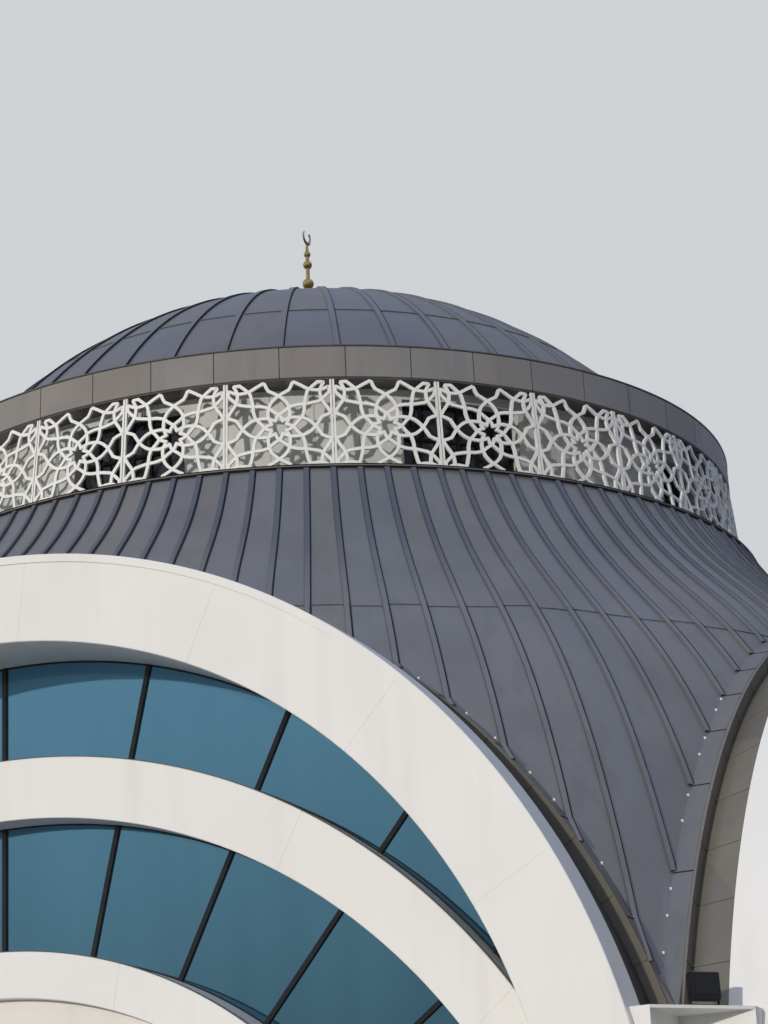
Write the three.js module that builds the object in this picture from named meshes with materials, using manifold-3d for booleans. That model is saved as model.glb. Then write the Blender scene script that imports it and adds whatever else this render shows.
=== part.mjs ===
// Domed prayer hall on a square plan: a great round arch closes each of the four sides,
// a curved metal roof rises from the arches to a ring, and a drum with an openwork
// screen carries a shallow dome. Millimetres, +Z up, origin on the ground under the dome.
import * as THREE from 'three';
import { mergeVertices } from 'three/addons/utils/BufferGeometryUtils.js';
import Module from 'manifold-3d';

const wasm = await Module();
wasm.setup();

// driving dimensions
const GAP = 0.3;
const STEP_BACK = 1;
const SIDES = ['front', 'right', 'back', 'left'];
const CORNERS = ['front_right', 'right_back', 'back_left', 'left_front'];

// great arch: white face, clear opening and the ledge behind it
const ARCH = { face: 14176, back: 12500, centre: 4874, outer: 12883, inner: 11278 };
const WHITE_TOP_BACK = 13438;
const RECESS_FRONT = WHITE_TOP_BACK - STEP_BACK;
const ARCH_STEPS = 24;
const ARCH_STEP = 180 / ARCH_STEPS;

// edge of the roof above the arch: gutter sheet and upright board
const VERGE = { plane: 12759, centre: 4299, top: 13280, foot: 13019, board: 40 };
const GUTTER_SHEET = 50;
const VERGE_END_ANGLE = 74;

// middle and inner arches, and the wall under the inner one
const MIDDLE = { face: 13204, outerCentre: 1731, outer: 12486, innerCentre: 1656, inner: 11453 };
const INNER = { face: 13524, outerCentre: 1639, outer: 9046, innerCentre: 1242, inner: 8629 };
const BAND_STEPS = 24;
const INFILL = { face: 13320, thick: 300 };
const DOORWAY = { width: 3200, height: 4200 };

// glass between the arches
const GLASS = { face: 12610, thick: 20, innerRadius: 8850 };

// corner piers
const PIER = { inner: 11300, face: 14010, side: 12740, top: 8370, capThick: 40, capLap: 10 };

// curved roof from the ring down to the edge of each arch
const RING = { radius: 10000, height: 20360 };
const ROOF = { rows: 6, strip: 350, ringSlope: 1.787, ringEase: 0.185 };
const ROOF_EDGE = { crownSlope: 1.327, easeSlope: 1.023, hipSlope: 2.912, firstAngle: 0.002 };
const ROOF_THICK = { ring: 300, belly: 250, corner: 60 };
const ROOF_LIP = { inner: 9900, outer: 9980, rise: 60 };

// drum under the dome
const BEAM = { inner: 8500, outer: 9950, foot: 20060, top: 20340 };
const DRUM = { inner: 8600, outer: 8900, top: 22402.7 };
const DRUM_STEPS = 56;
const WINDOW = { count: 8, first: 2.2, width: 16.4, sill: 20640, head: 22200, reach: 400 };
const DRUM_GLASS_THICK = 30;

// openwork screen
const SCREEN = { panels: 28, firstJoint: 4.04, footRadius: 9620, topRadius: 9494, thick: 90 };
const SCREEN_NODES = 4;
const SCREEN_TOP = 22395;
const SCREEN_BAR = 90;
// shares of a panel: middle hole, ring round it, and small offsets that keep corners apart
const PANEL = { holeRadius: 0.13, ringRadius: 0.16, squareLap: 0.004, borderDip: 0.004 };

// dome and the band around its foot
const FASCIA = { foot: 9495, top: 9476, inner: 9340, soffit: 22403, floor: 22503, head: 23129 };
const DOME = { radius: 10500, centre: 17020, thick: 250, steps: 56, rows: 7, innerRows: 5 };

// finial
const FINIAL_TOP = 29560;
const FINIAL_STEM = 45;
const FINIAL_BASE = { radius: 170, height: 60, coneTop: 180 };
const FINIAL_SIDES = 8;
const STEM_TOP = 28;
const BALL_STEPS = 4;
const BALLS = [
  { height: 28020, radius: 150 },
  { height: 28560, radius: 135 },
  { height: 29050, radius: 108 },
  { height: 29320, radius: 80 },
];
const CRESCENT = { outer: 190, inner: 140, lift: 37.5, thick: 50 };
const HORNS = { open: 140, taper: 8, steps: 12 };

// lamps on the corners
const LAMP = { width: 500, x: 13292, y: 13124, turn: 45 };
const LAMP_FOOT = { back: -90, front: 120, height: 70, neckFront: 60, neckTop: 90 };
const LAMP_HEAD = { chin: [190, 150], brow: [150, 540], crown: [-60, 540], heel: [-60, 60] };

const FLOOR_THICK = 120;

// reach of the solids that cut the others, well past the building
const CUT = { near: 8000, far: 15000, low: -1000, high: 19000, depth: 12000, foot: -100 };

// small helpers
const rad = (deg) => deg * Math.PI / 180;
const polar = (radius, az, z) => [radius * Math.sin(rad(az)), -radius * Math.cos(rad(az)), z];

function geometryFrom(points, faces) {
  let volume = 0;
  for (const [a, b, c] of faces) {
    const [p, q, r] = [points[a], points[b], points[c]];
    volume += p[0] * (q[1] * r[2] - q[2] * r[1])
      - p[1] * (q[0] * r[2] - q[2] * r[0])
      + p[2] * (q[0] * r[1] - q[1] * r[0]);
  }
  const outward = volume > 0 ? faces : faces.map(([a, b, c]) => [a, c, b]);
  const geometry = new THREE.BufferGeometry();
  geometry.setAttribute('position', new THREE.Float32BufferAttribute(points.flat(), 3));
  geometry.setIndex(outward.flat());
  return geometry;
}

// triangles that close an outline, wound the way the outline runs
function capFaces(outline) {
  const normal = [0, 0, 0];
  outline.forEach((p, i) => {
    const q = outline[(i + 1) % outline.length];
    normal[0] += (p[1] - q[1]) * (p[2] + q[2]);
    normal[1] += (p[2] - q[2]) * (p[0] + q[0]);
    normal[2] += (p[0] - q[0]) * (p[1] + q[1]);
  });
  const size = normal.map(Math.abs);
  const [u, v] = [[1, 2], [2, 0], [0, 1]][size.indexOf(Math.max(...size))];
  const flat = outline.map((p) => new THREE.Vector2(p[u], p[v]));
  const way = Math.sign(THREE.ShapeUtils.area(flat));
  return THREE.ShapeUtils.triangulateShape(flat, []).map(([a, b, c]) => {
    const turn = Math.sign(THREE.ShapeUtils.area([flat[a], flat[b], flat[c]]));
    return turn === way ? [a, b, c] : [a, c, b];
  });
}

// solid through a row of outlines with equal numbers of points
function loft(sections, closed = false) {
  const n = sections[0].length;
  const faces = [];
  const spans = closed ? sections.length : sections.length - 1;
  for (let s = 0; s < spans; s += 1) {
    const a = s * n;
    const b = ((s + 1) % sections.length) * n;
    for (let i = 0; i < n; i += 1) {
      const j = (i + 1) % n;
      faces.push([a + i, b + i, b + j], [a + i, b + j, a + j]);
    }
  }
  if (!closed) {
    const end = (sections.length - 1) * n;
    faces.push(...capFaces(sections[0]));
    capFaces(sections[sections.length - 1]).forEach(([i, j, k]) => {
      faces.push([end + i, end + k, end + j]);
    });
  }
  return geometryFrom(sections.flat(), faces);
}

// ring turned about the dome's axis from an outline of [radius, height] points
function turnedRing(outline, steps, first = 0) {
  const sections = [];
  for (let s = 0; s < steps; s += 1) {
    sections.push(outline.map(([r, z]) => polar(r, first + 360 * s / steps, z)));
  }
  return loft(sections, true);
}

// upright prism: outline of [x, y] points between two heights
function upright(outline, low, high) {
  return loft([outline.map(([x, y]) => [x, y, low]), outline.map(([x, y]) => [x, y, high])]);
}

// prism across a side of the building: outline of [x, z] points between two depths
function across(outline, front, back) {
  return loft([outline.map(([x, z]) => [x, -front, z]), outline.map(([x, z]) => [x, -back, z])]);
}

function toSolid(geometry) {
  const plain = geometry.clone();
  plain.deleteAttribute('normal');
  plain.deleteAttribute('uv');
  const merged = mergeVertices(plain, 0.001);
  return new wasm.Manifold(new wasm.Mesh({
    numProp: 3,
    vertProperties: new Float32Array(merged.attributes.position.array),
    triVerts: new Uint32Array(merged.index.array),
  }));
}

function fromSolid(solid) {
  const mesh = solid.getMesh();
  const geometry = new THREE.BufferGeometry();
  geometry.setAttribute('position', new THREE.BufferAttribute(mesh.vertProperties, 3));
  geometry.setIndex(new THREE.BufferAttribute(mesh.triVerts, 1));
  return geometry;
}

// curves of one side of the building, as [x, z] points
const onCircle = (radius, centre, angle) => [
  radius * Math.sin(rad(angle)),
  centre + radius * Math.cos(rad(angle)),
];

// distance from the great arch's centre to the roof edge circle, in a given direction
function vergeReach(radius, angle) {
  const drop = ARCH.centre - VERGE.centre;
  const along = drop * Math.cos(rad(angle));
  return -along + Math.sqrt(along * along + radius * radius - drop * drop);
}

// outline of an arch with straight legs down to the ground
function archedOutline(radius, centre, steps, foot = 0) {
  const outline = [[-radius, foot]];
  for (let s = 0; s <= steps; s += 1) {
    outline.push(onCircle(radius, centre, -90 + 180 * s / steps));
  }
  outline.push([radius, foot]);
  return outline;
}

// pieces of one side, built for the front
function greatArch() {
  const section = (outer, inner, recess, low) => [
    [outer[0], -ARCH.face, outer[1]],
    [outer[0], -WHITE_TOP_BACK, outer[1]],
    [recess[0], -RECESS_FRONT, recess[1]],
    [low[0], -VERGE.plane, low[1]],
    [low[0], -ARCH.back, low[1]],
    [inner[0], -ARCH.back, inner[1]],
    [inner[0], -ARCH.face, inner[1]],
  ];
  const recessRadius = ARCH.outer - GUTTER_SHEET - STEP_BACK;
  const sections = [];
  for (let s = 0; s <= ARCH_STEPS; s += 1) {
    const angle = -90 + ARCH_STEP * s;
    const outer = onCircle(ARCH.outer, ARCH.centre, angle);
    const inner = onCircle(ARCH.inner, ARCH.centre, angle);
    const under = Math.abs(angle) < VERGE_END_ANGLE + ARCH_STEP;
    const reach = Math.min(vergeReach(VERGE.foot, angle), ARCH.outer) - GUTTER_SHEET - STEP_BACK;
    const recess = under ? onCircle(recessRadius, ARCH.centre, angle) : outer;
    const low = under ? onCircle(reach, ARCH.centre, angle) : outer;
    sections.push(section(outer, inner, recess, low));
  }
  const foot = (side) => {
    const outer = [side * ARCH.outer, 0];
    return section(outer, [side * ARCH.inner, 0], outer, outer);
  };
  const body = toSolid(loft([foot(-1), ...sections, foot(1)]));
  return fromSolid(body.intersect(toSolid(betweenMitres())));
}

// everything on the front side of the two diagonals, less the joint's clearance
function betweenMitres() {
  const { near, far, low, high } = CUT;
  const outline = [[-far + GAP, -far], [far - GAP, -far], [near - GAP, -near], [-near + GAP, -near]];
  return upright(outline, low, high);
}

// directions of the edge board's stations, the last ones drawn in to where it ends
function vergeAngles() {
  const angles = [];
  for (let s = 1; s < ARCH_STEPS; s += 1) {
    const angle = -90 + ARCH_STEP * s;
    const nearest = Math.min(Math.max(angle, -VERGE_END_ANGLE), VERGE_END_ANGLE);
    if (Math.abs(angle - nearest) < ARCH_STEP) angles.push(nearest);
  }
  return angles;
}

function vergeFlashing() {
  const back = VERGE.plane - VERGE.board;
  return loft(vergeAngles().map((angle) => {
    const gutterBack = Math.min(vergeReach(VERGE.foot, angle), ARCH.outer - GAP);
    const top = vergeReach(VERGE.top, angle);
    const at = (radius, depth) => {
      const [x, z] = onCircle(radius, ARCH.centre, angle);
      return [x, -depth, z];
    };
    return [
      at(ARCH.outer - GAP - GUTTER_SHEET, RECESS_FRONT - GAP),
      at(gutterBack - GUTTER_SHEET, back),
      at(top, back),
      at(top, VERGE.plane),
      at(gutterBack, VERGE.plane),
      at(ARCH.outer - GAP, RECESS_FRONT - GAP),
    ];
  }));
}

function insideArch() {
  return across(archedOutline(ARCH.inner - GAP, ARCH.centre, ARCH_STEPS), CUT.far, CUT.depth);
}

function bandArch(band) {
  const back = GLASS.face + GAP;
  const sections = [];
  const section = (outer, inner) => [
    [outer[0], -band.face, outer[1]],
    [outer[0], -back, outer[1]],
    [inner[0], -back, inner[1]],
    [inner[0], -band.face, inner[1]],
  ];
  for (let s = 0; s <= BAND_STEPS; s += 1) {
    const angle = -90 + 180 * s / BAND_STEPS;
    sections.push(section(onCircle(band.outer, band.outerCentre, angle),
      onCircle(band.inner, band.innerCentre, angle)));
  }
  const foot = (side) => section([side * band.outer, 0], [side * band.inner, 0]);
  return loft([foot(-1), ...sections, foot(1)]);
}

const middleArch = () => fromSolid(toSolid(bandArch(MIDDLE)).intersect(toSolid(insideArch())));

function glazing() {
  const outer = archedOutline(ARCH.inner - GAP, ARCH.centre, ARCH_STEPS);
  const inner = archedOutline(GLASS.innerRadius, INNER.outerCentre, BAND_STEPS);
  return across([...outer, ...inner.reverse()], GLASS.face, GLASS.face - GLASS.thick);
}

function infillWall(withDoorway) {
  const outline = archedOutline(INNER.inner - GAP, INNER.innerCentre, BAND_STEPS);
  if (withDoorway) {
    const half = DOORWAY.width / 2;
    outline.push([half, 0], [half, DOORWAY.height], [-half, DOORWAY.height], [-half, 0]);
  }
  return across(outline, INFILL.face, INFILL.face - INFILL.thick);
}

// corner pier, built for the corner between front and right
function cornerPier() {
  const core = ARCH.back - GAP;
  const body = upright([
    [PIER.inner, -PIER.inner],
    [core, -PIER.inner],
    [core, -core],
    [PIER.inner, -core],
  ], 0, PIER.top);
  const shoulder = upright([
    [PIER.inner, -PIER.face],
    [PIER.side, -PIER.face],
    [PIER.side, -PIER.side],
    [PIER.face, -PIER.side],
    [PIER.face, -PIER.inner],
    [PIER.inner, -PIER.inner],
  ], ARCH.centre, PIER.top);
  const cap = upright([
    [PIER.inner, -PIER.face],
    [PIER.side, -PIER.face],
    [PIER.face, -PIER.side],
    [PIER.face, -PIER.inner],
    [PIER.inner, -PIER.inner],
  ], PIER.top - PIER.capLap, PIER.top + PIER.capThick);
  const clear = archedOutline(ARCH.outer + GAP, ARCH.centre, ARCH_STEPS, CUT.foot);
  const front = toSolid(across(clear, CUT.far, core));
  const right = toSolid(across(clear, CUT.far, core).rotateZ(Math.PI / 2));
  return fromSolid(toSolid(body).add(toSolid(shoulder)).add(toSolid(cap))
    .subtract(front).subtract(right));
}

// floodlight: a foot, a neck and a tilted head, in outline from the side
function cornerLamp() {
  const { back, front, height, neckFront, neckTop } = LAMP_FOOT;
  const { chin, brow, crown, heel } = LAMP_HEAD;
  const side = [[back, 0], [front, 0], [front, height], [neckFront, neckTop],
    chin, brow, crown, heel];
  const half = LAMP.width / 2;
  const low = PIER.top + PIER.capThick + GAP;
  const lamp = loft([
    side.map(([y, z]) => [-half, -y, z + low]),
    side.map(([y, z]) => [half, -y, z + low]),
  ]);
  return lamp.rotateZ(rad(LAMP.turn)).translate(LAMP.x, -LAMP.y, 0);
}

// where the roof ends in a direction, or where its sheets stop short of the level edge strip
function roofEdge(az, inset) {
  const side = Math.abs(((az + 45) % 90) - 45);
  const plane = VERGE.plane - VERGE.board - GAP - inset;
  const sideways = plane * Math.tan(rad(side));
  const circle = (radius) => VERGE.centre + Math.sqrt(Math.max(radius ** 2 - sideways ** 2, 0));
  const capTop = PIER.top + PIER.capThick + GAP;
  const top = Math.max(circle(VERGE.top), capTop + ROOF_THICK.corner);
  const foot = Math.min(Math.max(circle(VERGE.foot), capTop), top - ROOF_THICK.corner);
  return { reach: plane / Math.cos(rad(side)), top, foot, side };
}

// height of the sheets, a cubic that leaves the ring and meets the strip at given slopes
function roofHeight(seam, t) {
  const run = seam.reach - RING.radius;
  const turned = Math.tan(rad(seam.side));
  const start = -(ROOF.ringSlope - ROOF.ringEase * turned) * run;
  const bend = ROOF_EDGE.hipSlope * turned ** 4 - ROOF_EDGE.easeSlope * turned ** 2;
  const finish = -(ROOF_EDGE.crownSlope + bend) * run;
  const [t2, t3] = [t * t, t * t * t];
  return (2 * t3 - 3 * t2 + 1) * RING.height + (t3 - 2 * t2 + t) * start
    + (3 * t2 - 2 * t3) * seam.top + (t3 - t2) * finish;
}

function roofSection(az) {
  const seam = roofEdge(az, ROOF.strip);
  const edge = roofEdge(az, 0);
  const upper = [];
  const lower = [];
  for (let row = 0; row <= ROOF.rows; row += 1) {
    const t = row / ROOF.rows;
    const radius = RING.radius + t * (seam.reach - RING.radius);
    const z = roofHeight(seam, t);
    const thick = (1 - t) * ROOF_THICK.ring + t * (seam.top - seam.foot)
      + 4 * t * (1 - t) * ROOF_THICK.belly;
    upper.push(polar(radius, az, z));
    lower.unshift(polar(radius, az, z - thick));
  }
  upper.push(polar(edge.reach, az, edge.top));
  lower.unshift(polar(edge.reach, az, edge.foot));
  // lip that lies on the ring beam
  const seat = BEAM.top + GAP;
  upper.unshift(polar(ROOF_LIP.inner, az, seat + ROOF_LIP.rise));
  lower.push(polar(ROOF_LIP.outer, az, seat), polar(ROOF_LIP.inner, az, seat));
  return [...upper, ...lower];
}

// directions of the roof's stations: one at each station of the edge board, and the corner
function roofStations() {
  const plane = VERGE.plane - VERGE.board - GAP;
  const half = [ROOF_EDGE.firstAngle];
  vergeAngles().filter((angle) => angle > ARCH_STEP / 2).forEach((angle) => {
    const [x] = onCircle(vergeReach(VERGE.top, angle), ARCH.centre, angle);
    half.push(Math.atan(x / plane) * 180 / Math.PI);
  });
  return [...half, 45, ...half.map((az) => 90 - az).reverse()];
}

// curved roof over one corner, from crown to crown
const roofQuarter = () => loft(roofStations().map(roofSection));

// drum, screen, dome and finial
const ringBeam = () => turnedRing([
  [BEAM.inner, BEAM.foot],
  [BEAM.outer, BEAM.foot],
  [BEAM.outer, BEAM.top],
  [BEAM.inner, BEAM.top],
], DRUM_STEPS);

function drumWall() {
  let wall = toSolid(turnedRing([
    [DRUM.inner, BEAM.top + GAP],
    [DRUM.outer, BEAM.top + GAP],
    [DRUM.outer, DRUM.top],
    [DRUM.inner, DRUM.top],
  ], DRUM_STEPS));
  const near = DRUM.inner - WINDOW.reach;
  const far = DRUM.outer + WINDOW.reach;
  for (let w = 0; w < WINDOW.count; w += 1) {
    const middle = WINDOW.first + 360 * w / WINDOW.count;
    const [from, to] = [middle - WINDOW.width / 2, middle + WINDOW.width / 2];
    const plan = [polar(near, from, 0), polar(far, from, 0), polar(far, middle, 0),
      polar(far, to, 0), polar(near, to, 0), polar(near, middle, 0)];
    wall = wall.subtract(toSolid(upright(plan, WINDOW.sill, WINDOW.head)));
  }
  return fromSolid(wall);
}

const drumGlass = () => turnedRing([
  [DRUM.inner - GAP - DRUM_GLASS_THICK, BEAM.top + GAP],
  [DRUM.inner - GAP, BEAM.top + GAP],
  [DRUM.inner - GAP, DRUM.top],
  [DRUM.inner - GAP - DRUM_GLASS_THICK, DRUM.top],
], DRUM_STEPS);

// holes of one screen panel on the unit square: an eight-sided middle and the gaps round it
function screenHoles(bar) {
  const holes = [];
  const middle = [0.5, 0.5];
  const ringIn = PANEL.holeRadius;
  const ringOut = PANEL.ringRadius + bar;
  const star = [];
  for (let k = 0; k < 8; k += 1) {
    const a = rad(45 * k);
    star.push([middle[0] + ringIn * Math.cos(a), middle[1] + ringIn * Math.sin(a)]);
  }
  holes.push(star);
  const edge = 0.5 - bar;
  for (let k = 0; k < 8; k += 1) {
    const [a, b] = [45 * k, 45 * (k + 1)];
    const half = bar * 0.5;
    const spoke = (angle, side, radius) => {
      const [c, s] = [Math.cos(rad(angle)), Math.sin(rad(angle))];
      return [radius * c - side * half * s, radius * s + side * half * c];
    };
    const meet = (angle, side) => {
      const [c, s] = [Math.cos(rad(angle)), Math.sin(rad(angle))];
      const base = [-side * half * s, side * half * c];
      const limit = angle % 90 ? edge : edge + PANEL.squareLap;
      const reach = Math.min(
        Math.abs(c) > 1e-6 ? (limit - Math.sign(c) * base[0]) / Math.abs(c) : Infinity,
        Math.abs(s) > 1e-6 ? (limit - Math.sign(s) * base[1]) / Math.abs(s) : Infinity,
      );
      return [base[0] + reach * c, base[1] + reach * s];
    };
    const outline = [spoke(a, 1, ringOut), meet(a, 1), meet(b, -1), spoke(b, -1, ringOut)];
    holes.push(outline.map(([x, y]) => [x + middle[0], y + middle[1]]));
  }
  return holes;
}

// seven panels side by side, bent to the screen's slightly tapering round
function screenQuarter(first) {
  const pitch = 360 / SCREEN.panels;
  const count = SCREEN.panels / SCREEN_NODES;
  const low = BEAM.top + GAP;
  const bar = SCREEN_BAR / (SCREEN_TOP - low);
  const place = (panel, [u, v], inward) => {
    const radius = SCREEN.footRadius + v * (SCREEN.topRadius - SCREEN.footRadius) - inward;
    return polar(radius, first + (panel + u) * pitch, low + v * (SCREEN_TOP - low));
  };
  const dip = PANEL.borderDip;
  const border = [[0, dip], [0.5, 0], [1, dip], [1, 1 - dip], [0.5, 1], [0, 1 - dip]];
  const holes = screenHoles(bar);
  const all = [...border, ...holes.flat()];
  const vector = (list) => list.map(([x, y]) => new THREE.Vector2(x, y));
  const flat = vector(all);
  const tris = THREE.ShapeUtils.triangulateShape(vector(border), holes.map(vector))
    .map(([a, b, c]) => {
      const up = THREE.ShapeUtils.area([flat[a], flat[b], flat[c]]) > 0;
      return up ? [a, b, c] : [a, c, b];
    });
  const points = [];
  const faces = [];
  for (let panel = 0; panel < count; panel += 1) {
    const front = points.length;
    all.forEach((p) => points.push(place(panel, p, 0)));
    const back = points.length;
    all.forEach((p) => points.push(place(panel, p, SCREEN.thick)));
    tris.forEach(([a, b, c]) => {
      faces.push([front + a, front + b, front + c], [back + a, back + c, back + b]);
    });
    const wall = (i, j) => {
      faces.push([front + i, back + i, back + j], [front + i, back + j, front + j]);
    };
    wall(0, 1);
    wall(1, 2);
    wall(3, 4);
    wall(4, 5);
    if (panel === 0) wall(5, 0);
    if (panel === count - 1) wall(2, 3);
    let at = border.length;
    holes.forEach((hole) => {
      const way = THREE.ShapeUtils.area(vector(hole)) > 0;
      for (let i = 0; i < hole.length; i += 1) {
        const j = (i + 1) % hole.length;
        if (way) wall(at + j, at + i);
        else wall(at + i, at + j);
      }
      at += hole.length;
    });
  }
  const geometry = geometryFrom(points, faces);
  return mergeVertices(geometry, 0.01);
}

const fasciaRing = () => turnedRing([
  [BEAM.inner, FASCIA.soffit],
  [FASCIA.foot, FASCIA.soffit],
  [FASCIA.top, FASCIA.head],
  [FASCIA.inner, FASCIA.head],
  [FASCIA.inner, FASCIA.floor],
  [BEAM.inner, FASCIA.floor],
], DOME.steps);

function domeShell() {
  const foot = FASCIA.floor + GAP;
  const outline = [];
  const run = (radius, rows, down) => {
    const reach = Math.acos((foot - DOME.centre) / radius);
    for (let row = 0; row <= rows; row += 1) {
      const angle = reach * (down ? row / rows : 1 - row / rows);
      const r = row === (down ? 0 : rows) ? 0 : radius * Math.sin(angle);
      outline.push(new THREE.Vector2(r, DOME.centre + radius * Math.cos(angle)));
    }
  };
  run(DOME.radius, DOME.rows, true);
  run(DOME.radius - DOME.thick, DOME.innerRows, false);
  return new THREE.LatheGeometry(outline.reverse(), DOME.steps).rotateX(Math.PI / 2);
}

function finialStem() {
  const apex = DOME.centre + DOME.radius + GAP;
  const { radius: wide, height, coneTop } = FINIAL_BASE;
  const outline = [[0, apex], [wide, apex], [wide, apex + height], [FINIAL_STEM, apex + coneTop]];
  BALLS.forEach((ball) => {
    const neck = Math.asin(FINIAL_STEM / ball.radius);
    for (let k = 0; k <= BALL_STEPS; k += 1) {
      const angle = neck + (Math.PI - 2 * neck) * k / BALL_STEPS;
      const onion = ball === BALLS[0] && k === BALL_STEPS;
      if (onion) outline.push([ball.radius * 0.5, ball.height + ball.radius * 1.1]);
      const rise = onion ? ball.radius * 2.1 : -ball.radius * Math.cos(angle);
      outline.push([ball.radius * Math.sin(angle), ball.height + rise]);
    }
  });
  outline.push([STEM_TOP, FINIAL_TOP], [0, FINIAL_TOP]);
  const points = outline.map(([r, z]) => new THREE.Vector2(r, z));
  return new THREE.LatheGeometry(points, FINIAL_SIDES).rotateX(Math.PI / 2);
}

// crescent open to the top, its flat sides to the left and right
function finialCrescent() {
  const { outer, inner, lift, thick } = CRESCENT;
  const middle = FINIAL_TOP + GAP + outer;
  const arc = (radius, centre, open) => {
    const points = [];
    for (let k = 0; k <= HORNS.steps; k += 1) {
      const a = rad(180 - open + 2 * open * k / HORNS.steps);
      points.push([radius * Math.sin(a), centre + radius * Math.cos(a)]);
    }
    return points;
  };
  const outline = [
    ...arc(outer, middle, HORNS.open),
    ...arc(inner, middle + lift, HORNS.open - HORNS.taper).reverse(),
  ];
  return across(outline, thick / 2, -thick / 2).rotateZ(rad(90));
}

function floorSlab() {
  const [a, b] = [ARCH.inner - GAP, GLASS.face - GLASS.thick - GAP];
  return upright([[-a, -b], [a, -b], [a, -a], [b, -a], [b, a], [a, a],
    [a, b], [-a, b], [-a, a], [-b, a], [-b, -a], [-a, -a]], 0, FLOOR_THICK);
}

// materials
const material = (color, roughness, metalness) => (
  new THREE.MeshStandardMaterial({ color, roughness, metalness }));
const WHITE = () => material('#dcdad4', 0.75, 0);
const CREAM = () => material('#ddd6c4', 0.8, 0);
const ROOF_METAL = () => material('#5f6266', 0.5, 0.6);
const FLASHING = () => material('#827d72', 0.5, 0.5);
const GLAZED = () => material('#3c5f78', 0.08, 0);
const SCREEN_WHITE = () => material('#e4e1da', 0.6, 0);
const DRUM_PANEL = () => material('#a6a28c', 0.7, 0);
const BRASS = () => material('#b08a3c', 0.3, 0.9);
const BLACK_METAL = () => material('#1c1d1f', 0.5, 0.4);
const FLOOR_STONE = () => material('#b9b4a8', 0.7, 0);

// assembly
const group = new THREE.Group();

function add(name, geometry, look, turn = 0) {
  const mesh = new THREE.Mesh(geometry, look);
  mesh.name = name;
  mesh.rotation.z = turn;
  group.add(mesh);
}

SIDES.forEach((side, k) => {
  const turn = k * Math.PI / 2;
  add(`${side}_great_arch`, greatArch(), WHITE(), turn);
  add(`${side}_verge_flashing`, vergeFlashing(), FLASHING(), turn);
  add(`${side}_middle_arch`, middleArch(), WHITE(), turn);
  add(`${side}_inner_arch`, bandArch(INNER), WHITE(), turn);
  add(`${side}_glazing`, glazing(), GLAZED(), turn);
  add(`${side}_infill_wall`, infillWall(side === 'front'), CREAM(), turn);
});

CORNERS.forEach((corner, k) => {
  const turn = k * Math.PI / 2;
  add(`${corner}_pier`, cornerPier(), WHITE(), turn);
  add(`${corner}_lamp`, cornerLamp(), BLACK_METAL(), turn);
  add(`${corner}_roof`, roofQuarter(), ROOF_METAL(), turn);
  add(`${corner}_screen`, screenQuarter(SCREEN.firstJoint + 90 * k), SCREEN_WHITE());
});

add('ring_beam', ringBeam(), FLASHING());
add('drum_wall', drumWall(), DRUM_PANEL());
add('drum_glass', drumGlass(), GLAZED());
add('fascia_ring', fasciaRing(), FLASHING());
add('dome_shell', domeShell(), ROOF_METAL());
add('finial_stem', finialStem(), BRASS());
add('finial_crescent', finialCrescent(), BRASS());
add('floor_slab', floorSlab(), FLOOR_STONE());

export default group;
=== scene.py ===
"""Domed prayer hall: metal roof, drum with an openwork screen, and four arched sides.

Metres, +Z up, origin on the ground under the dome. The front looks along -Y. Side and
corner pieces are worked out once for the front and turned by quarter turns.
"""

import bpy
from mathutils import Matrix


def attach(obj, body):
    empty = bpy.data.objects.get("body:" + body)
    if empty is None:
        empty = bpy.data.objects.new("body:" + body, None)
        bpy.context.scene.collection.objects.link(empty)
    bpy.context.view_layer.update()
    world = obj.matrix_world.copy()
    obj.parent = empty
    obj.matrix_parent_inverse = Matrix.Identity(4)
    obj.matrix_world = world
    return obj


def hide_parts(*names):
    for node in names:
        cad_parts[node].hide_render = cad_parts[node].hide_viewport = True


bl_info = {
    "name": "Domed Prayer Hall",
    "version": (1, 0, 0),
    "blender": (4, 5, 0),
    "location": "View3D > Sidebar > Hall",
    "description": "Builds the cladding, glass, roof, drum, screen and dome of a prayer hall",
    "category": "Add Mesh",
}

import math

import bpy
import numpy as np

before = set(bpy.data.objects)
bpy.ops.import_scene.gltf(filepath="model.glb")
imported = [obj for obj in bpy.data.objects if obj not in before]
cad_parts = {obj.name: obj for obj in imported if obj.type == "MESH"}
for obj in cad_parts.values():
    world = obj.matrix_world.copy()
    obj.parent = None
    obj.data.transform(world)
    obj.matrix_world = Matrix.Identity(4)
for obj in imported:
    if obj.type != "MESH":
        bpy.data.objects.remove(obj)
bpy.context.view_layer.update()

SIDES = ("front", "right", "back", "left")
CORNERS = ("front_right", "right_back", "back_left", "left_front")
BODY = "root"

GAP = 0.0003  # between pieces that touch
TURN = 2 * math.pi
QUARTER = math.pi / 2

# the roof meets the back of the edge board at this distance from the middle
ROOF_EDGE = 12.7187
CORNER_HEIGHT = 8.4703  # top of the corner caps, where the roof's four feet end
RING_SLOPES = (1.787, -0.185)  # fall of the roof at the ring, by powers of the lean
FOOT_SLOPES = (1.327, -1.023, 2.912)  # and at its foot, by even powers
SLOPE_END = 0.998  # share of the way down at which battens and clips meet the edge strip

LEG = 100.0  # station number of an arch's foot; 90 is where its leg begins
OPENING = 0.0006  # pieces stay this far inside the great arch's opening
# heights of the circles' centres, outside and inside
MIDDLE_CENTRES = (1.731, 1.656)
INNER_CENTRES = (1.639, 1.242)
WALL_FACE, WALL_BACK = 13.32, 13.02
SCREEN_FOOT, SCREEN_HEAD = 20.48, 22.39
DOME_APEX = 27.5203
LAMP_PLACE = (13.292, -13.124, 0)
LAMP_FOOT = 8.4106


# sizes and colours a user would change

def length(name, default, text):
    return bpy.props.FloatProperty(name=name, description=text, default=default,
                                   unit="LENGTH", subtype="DISTANCE", precision=4)


def count(name, default, text):
    return bpy.props.IntProperty(name=name, description=text, default=default, min=1)


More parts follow.
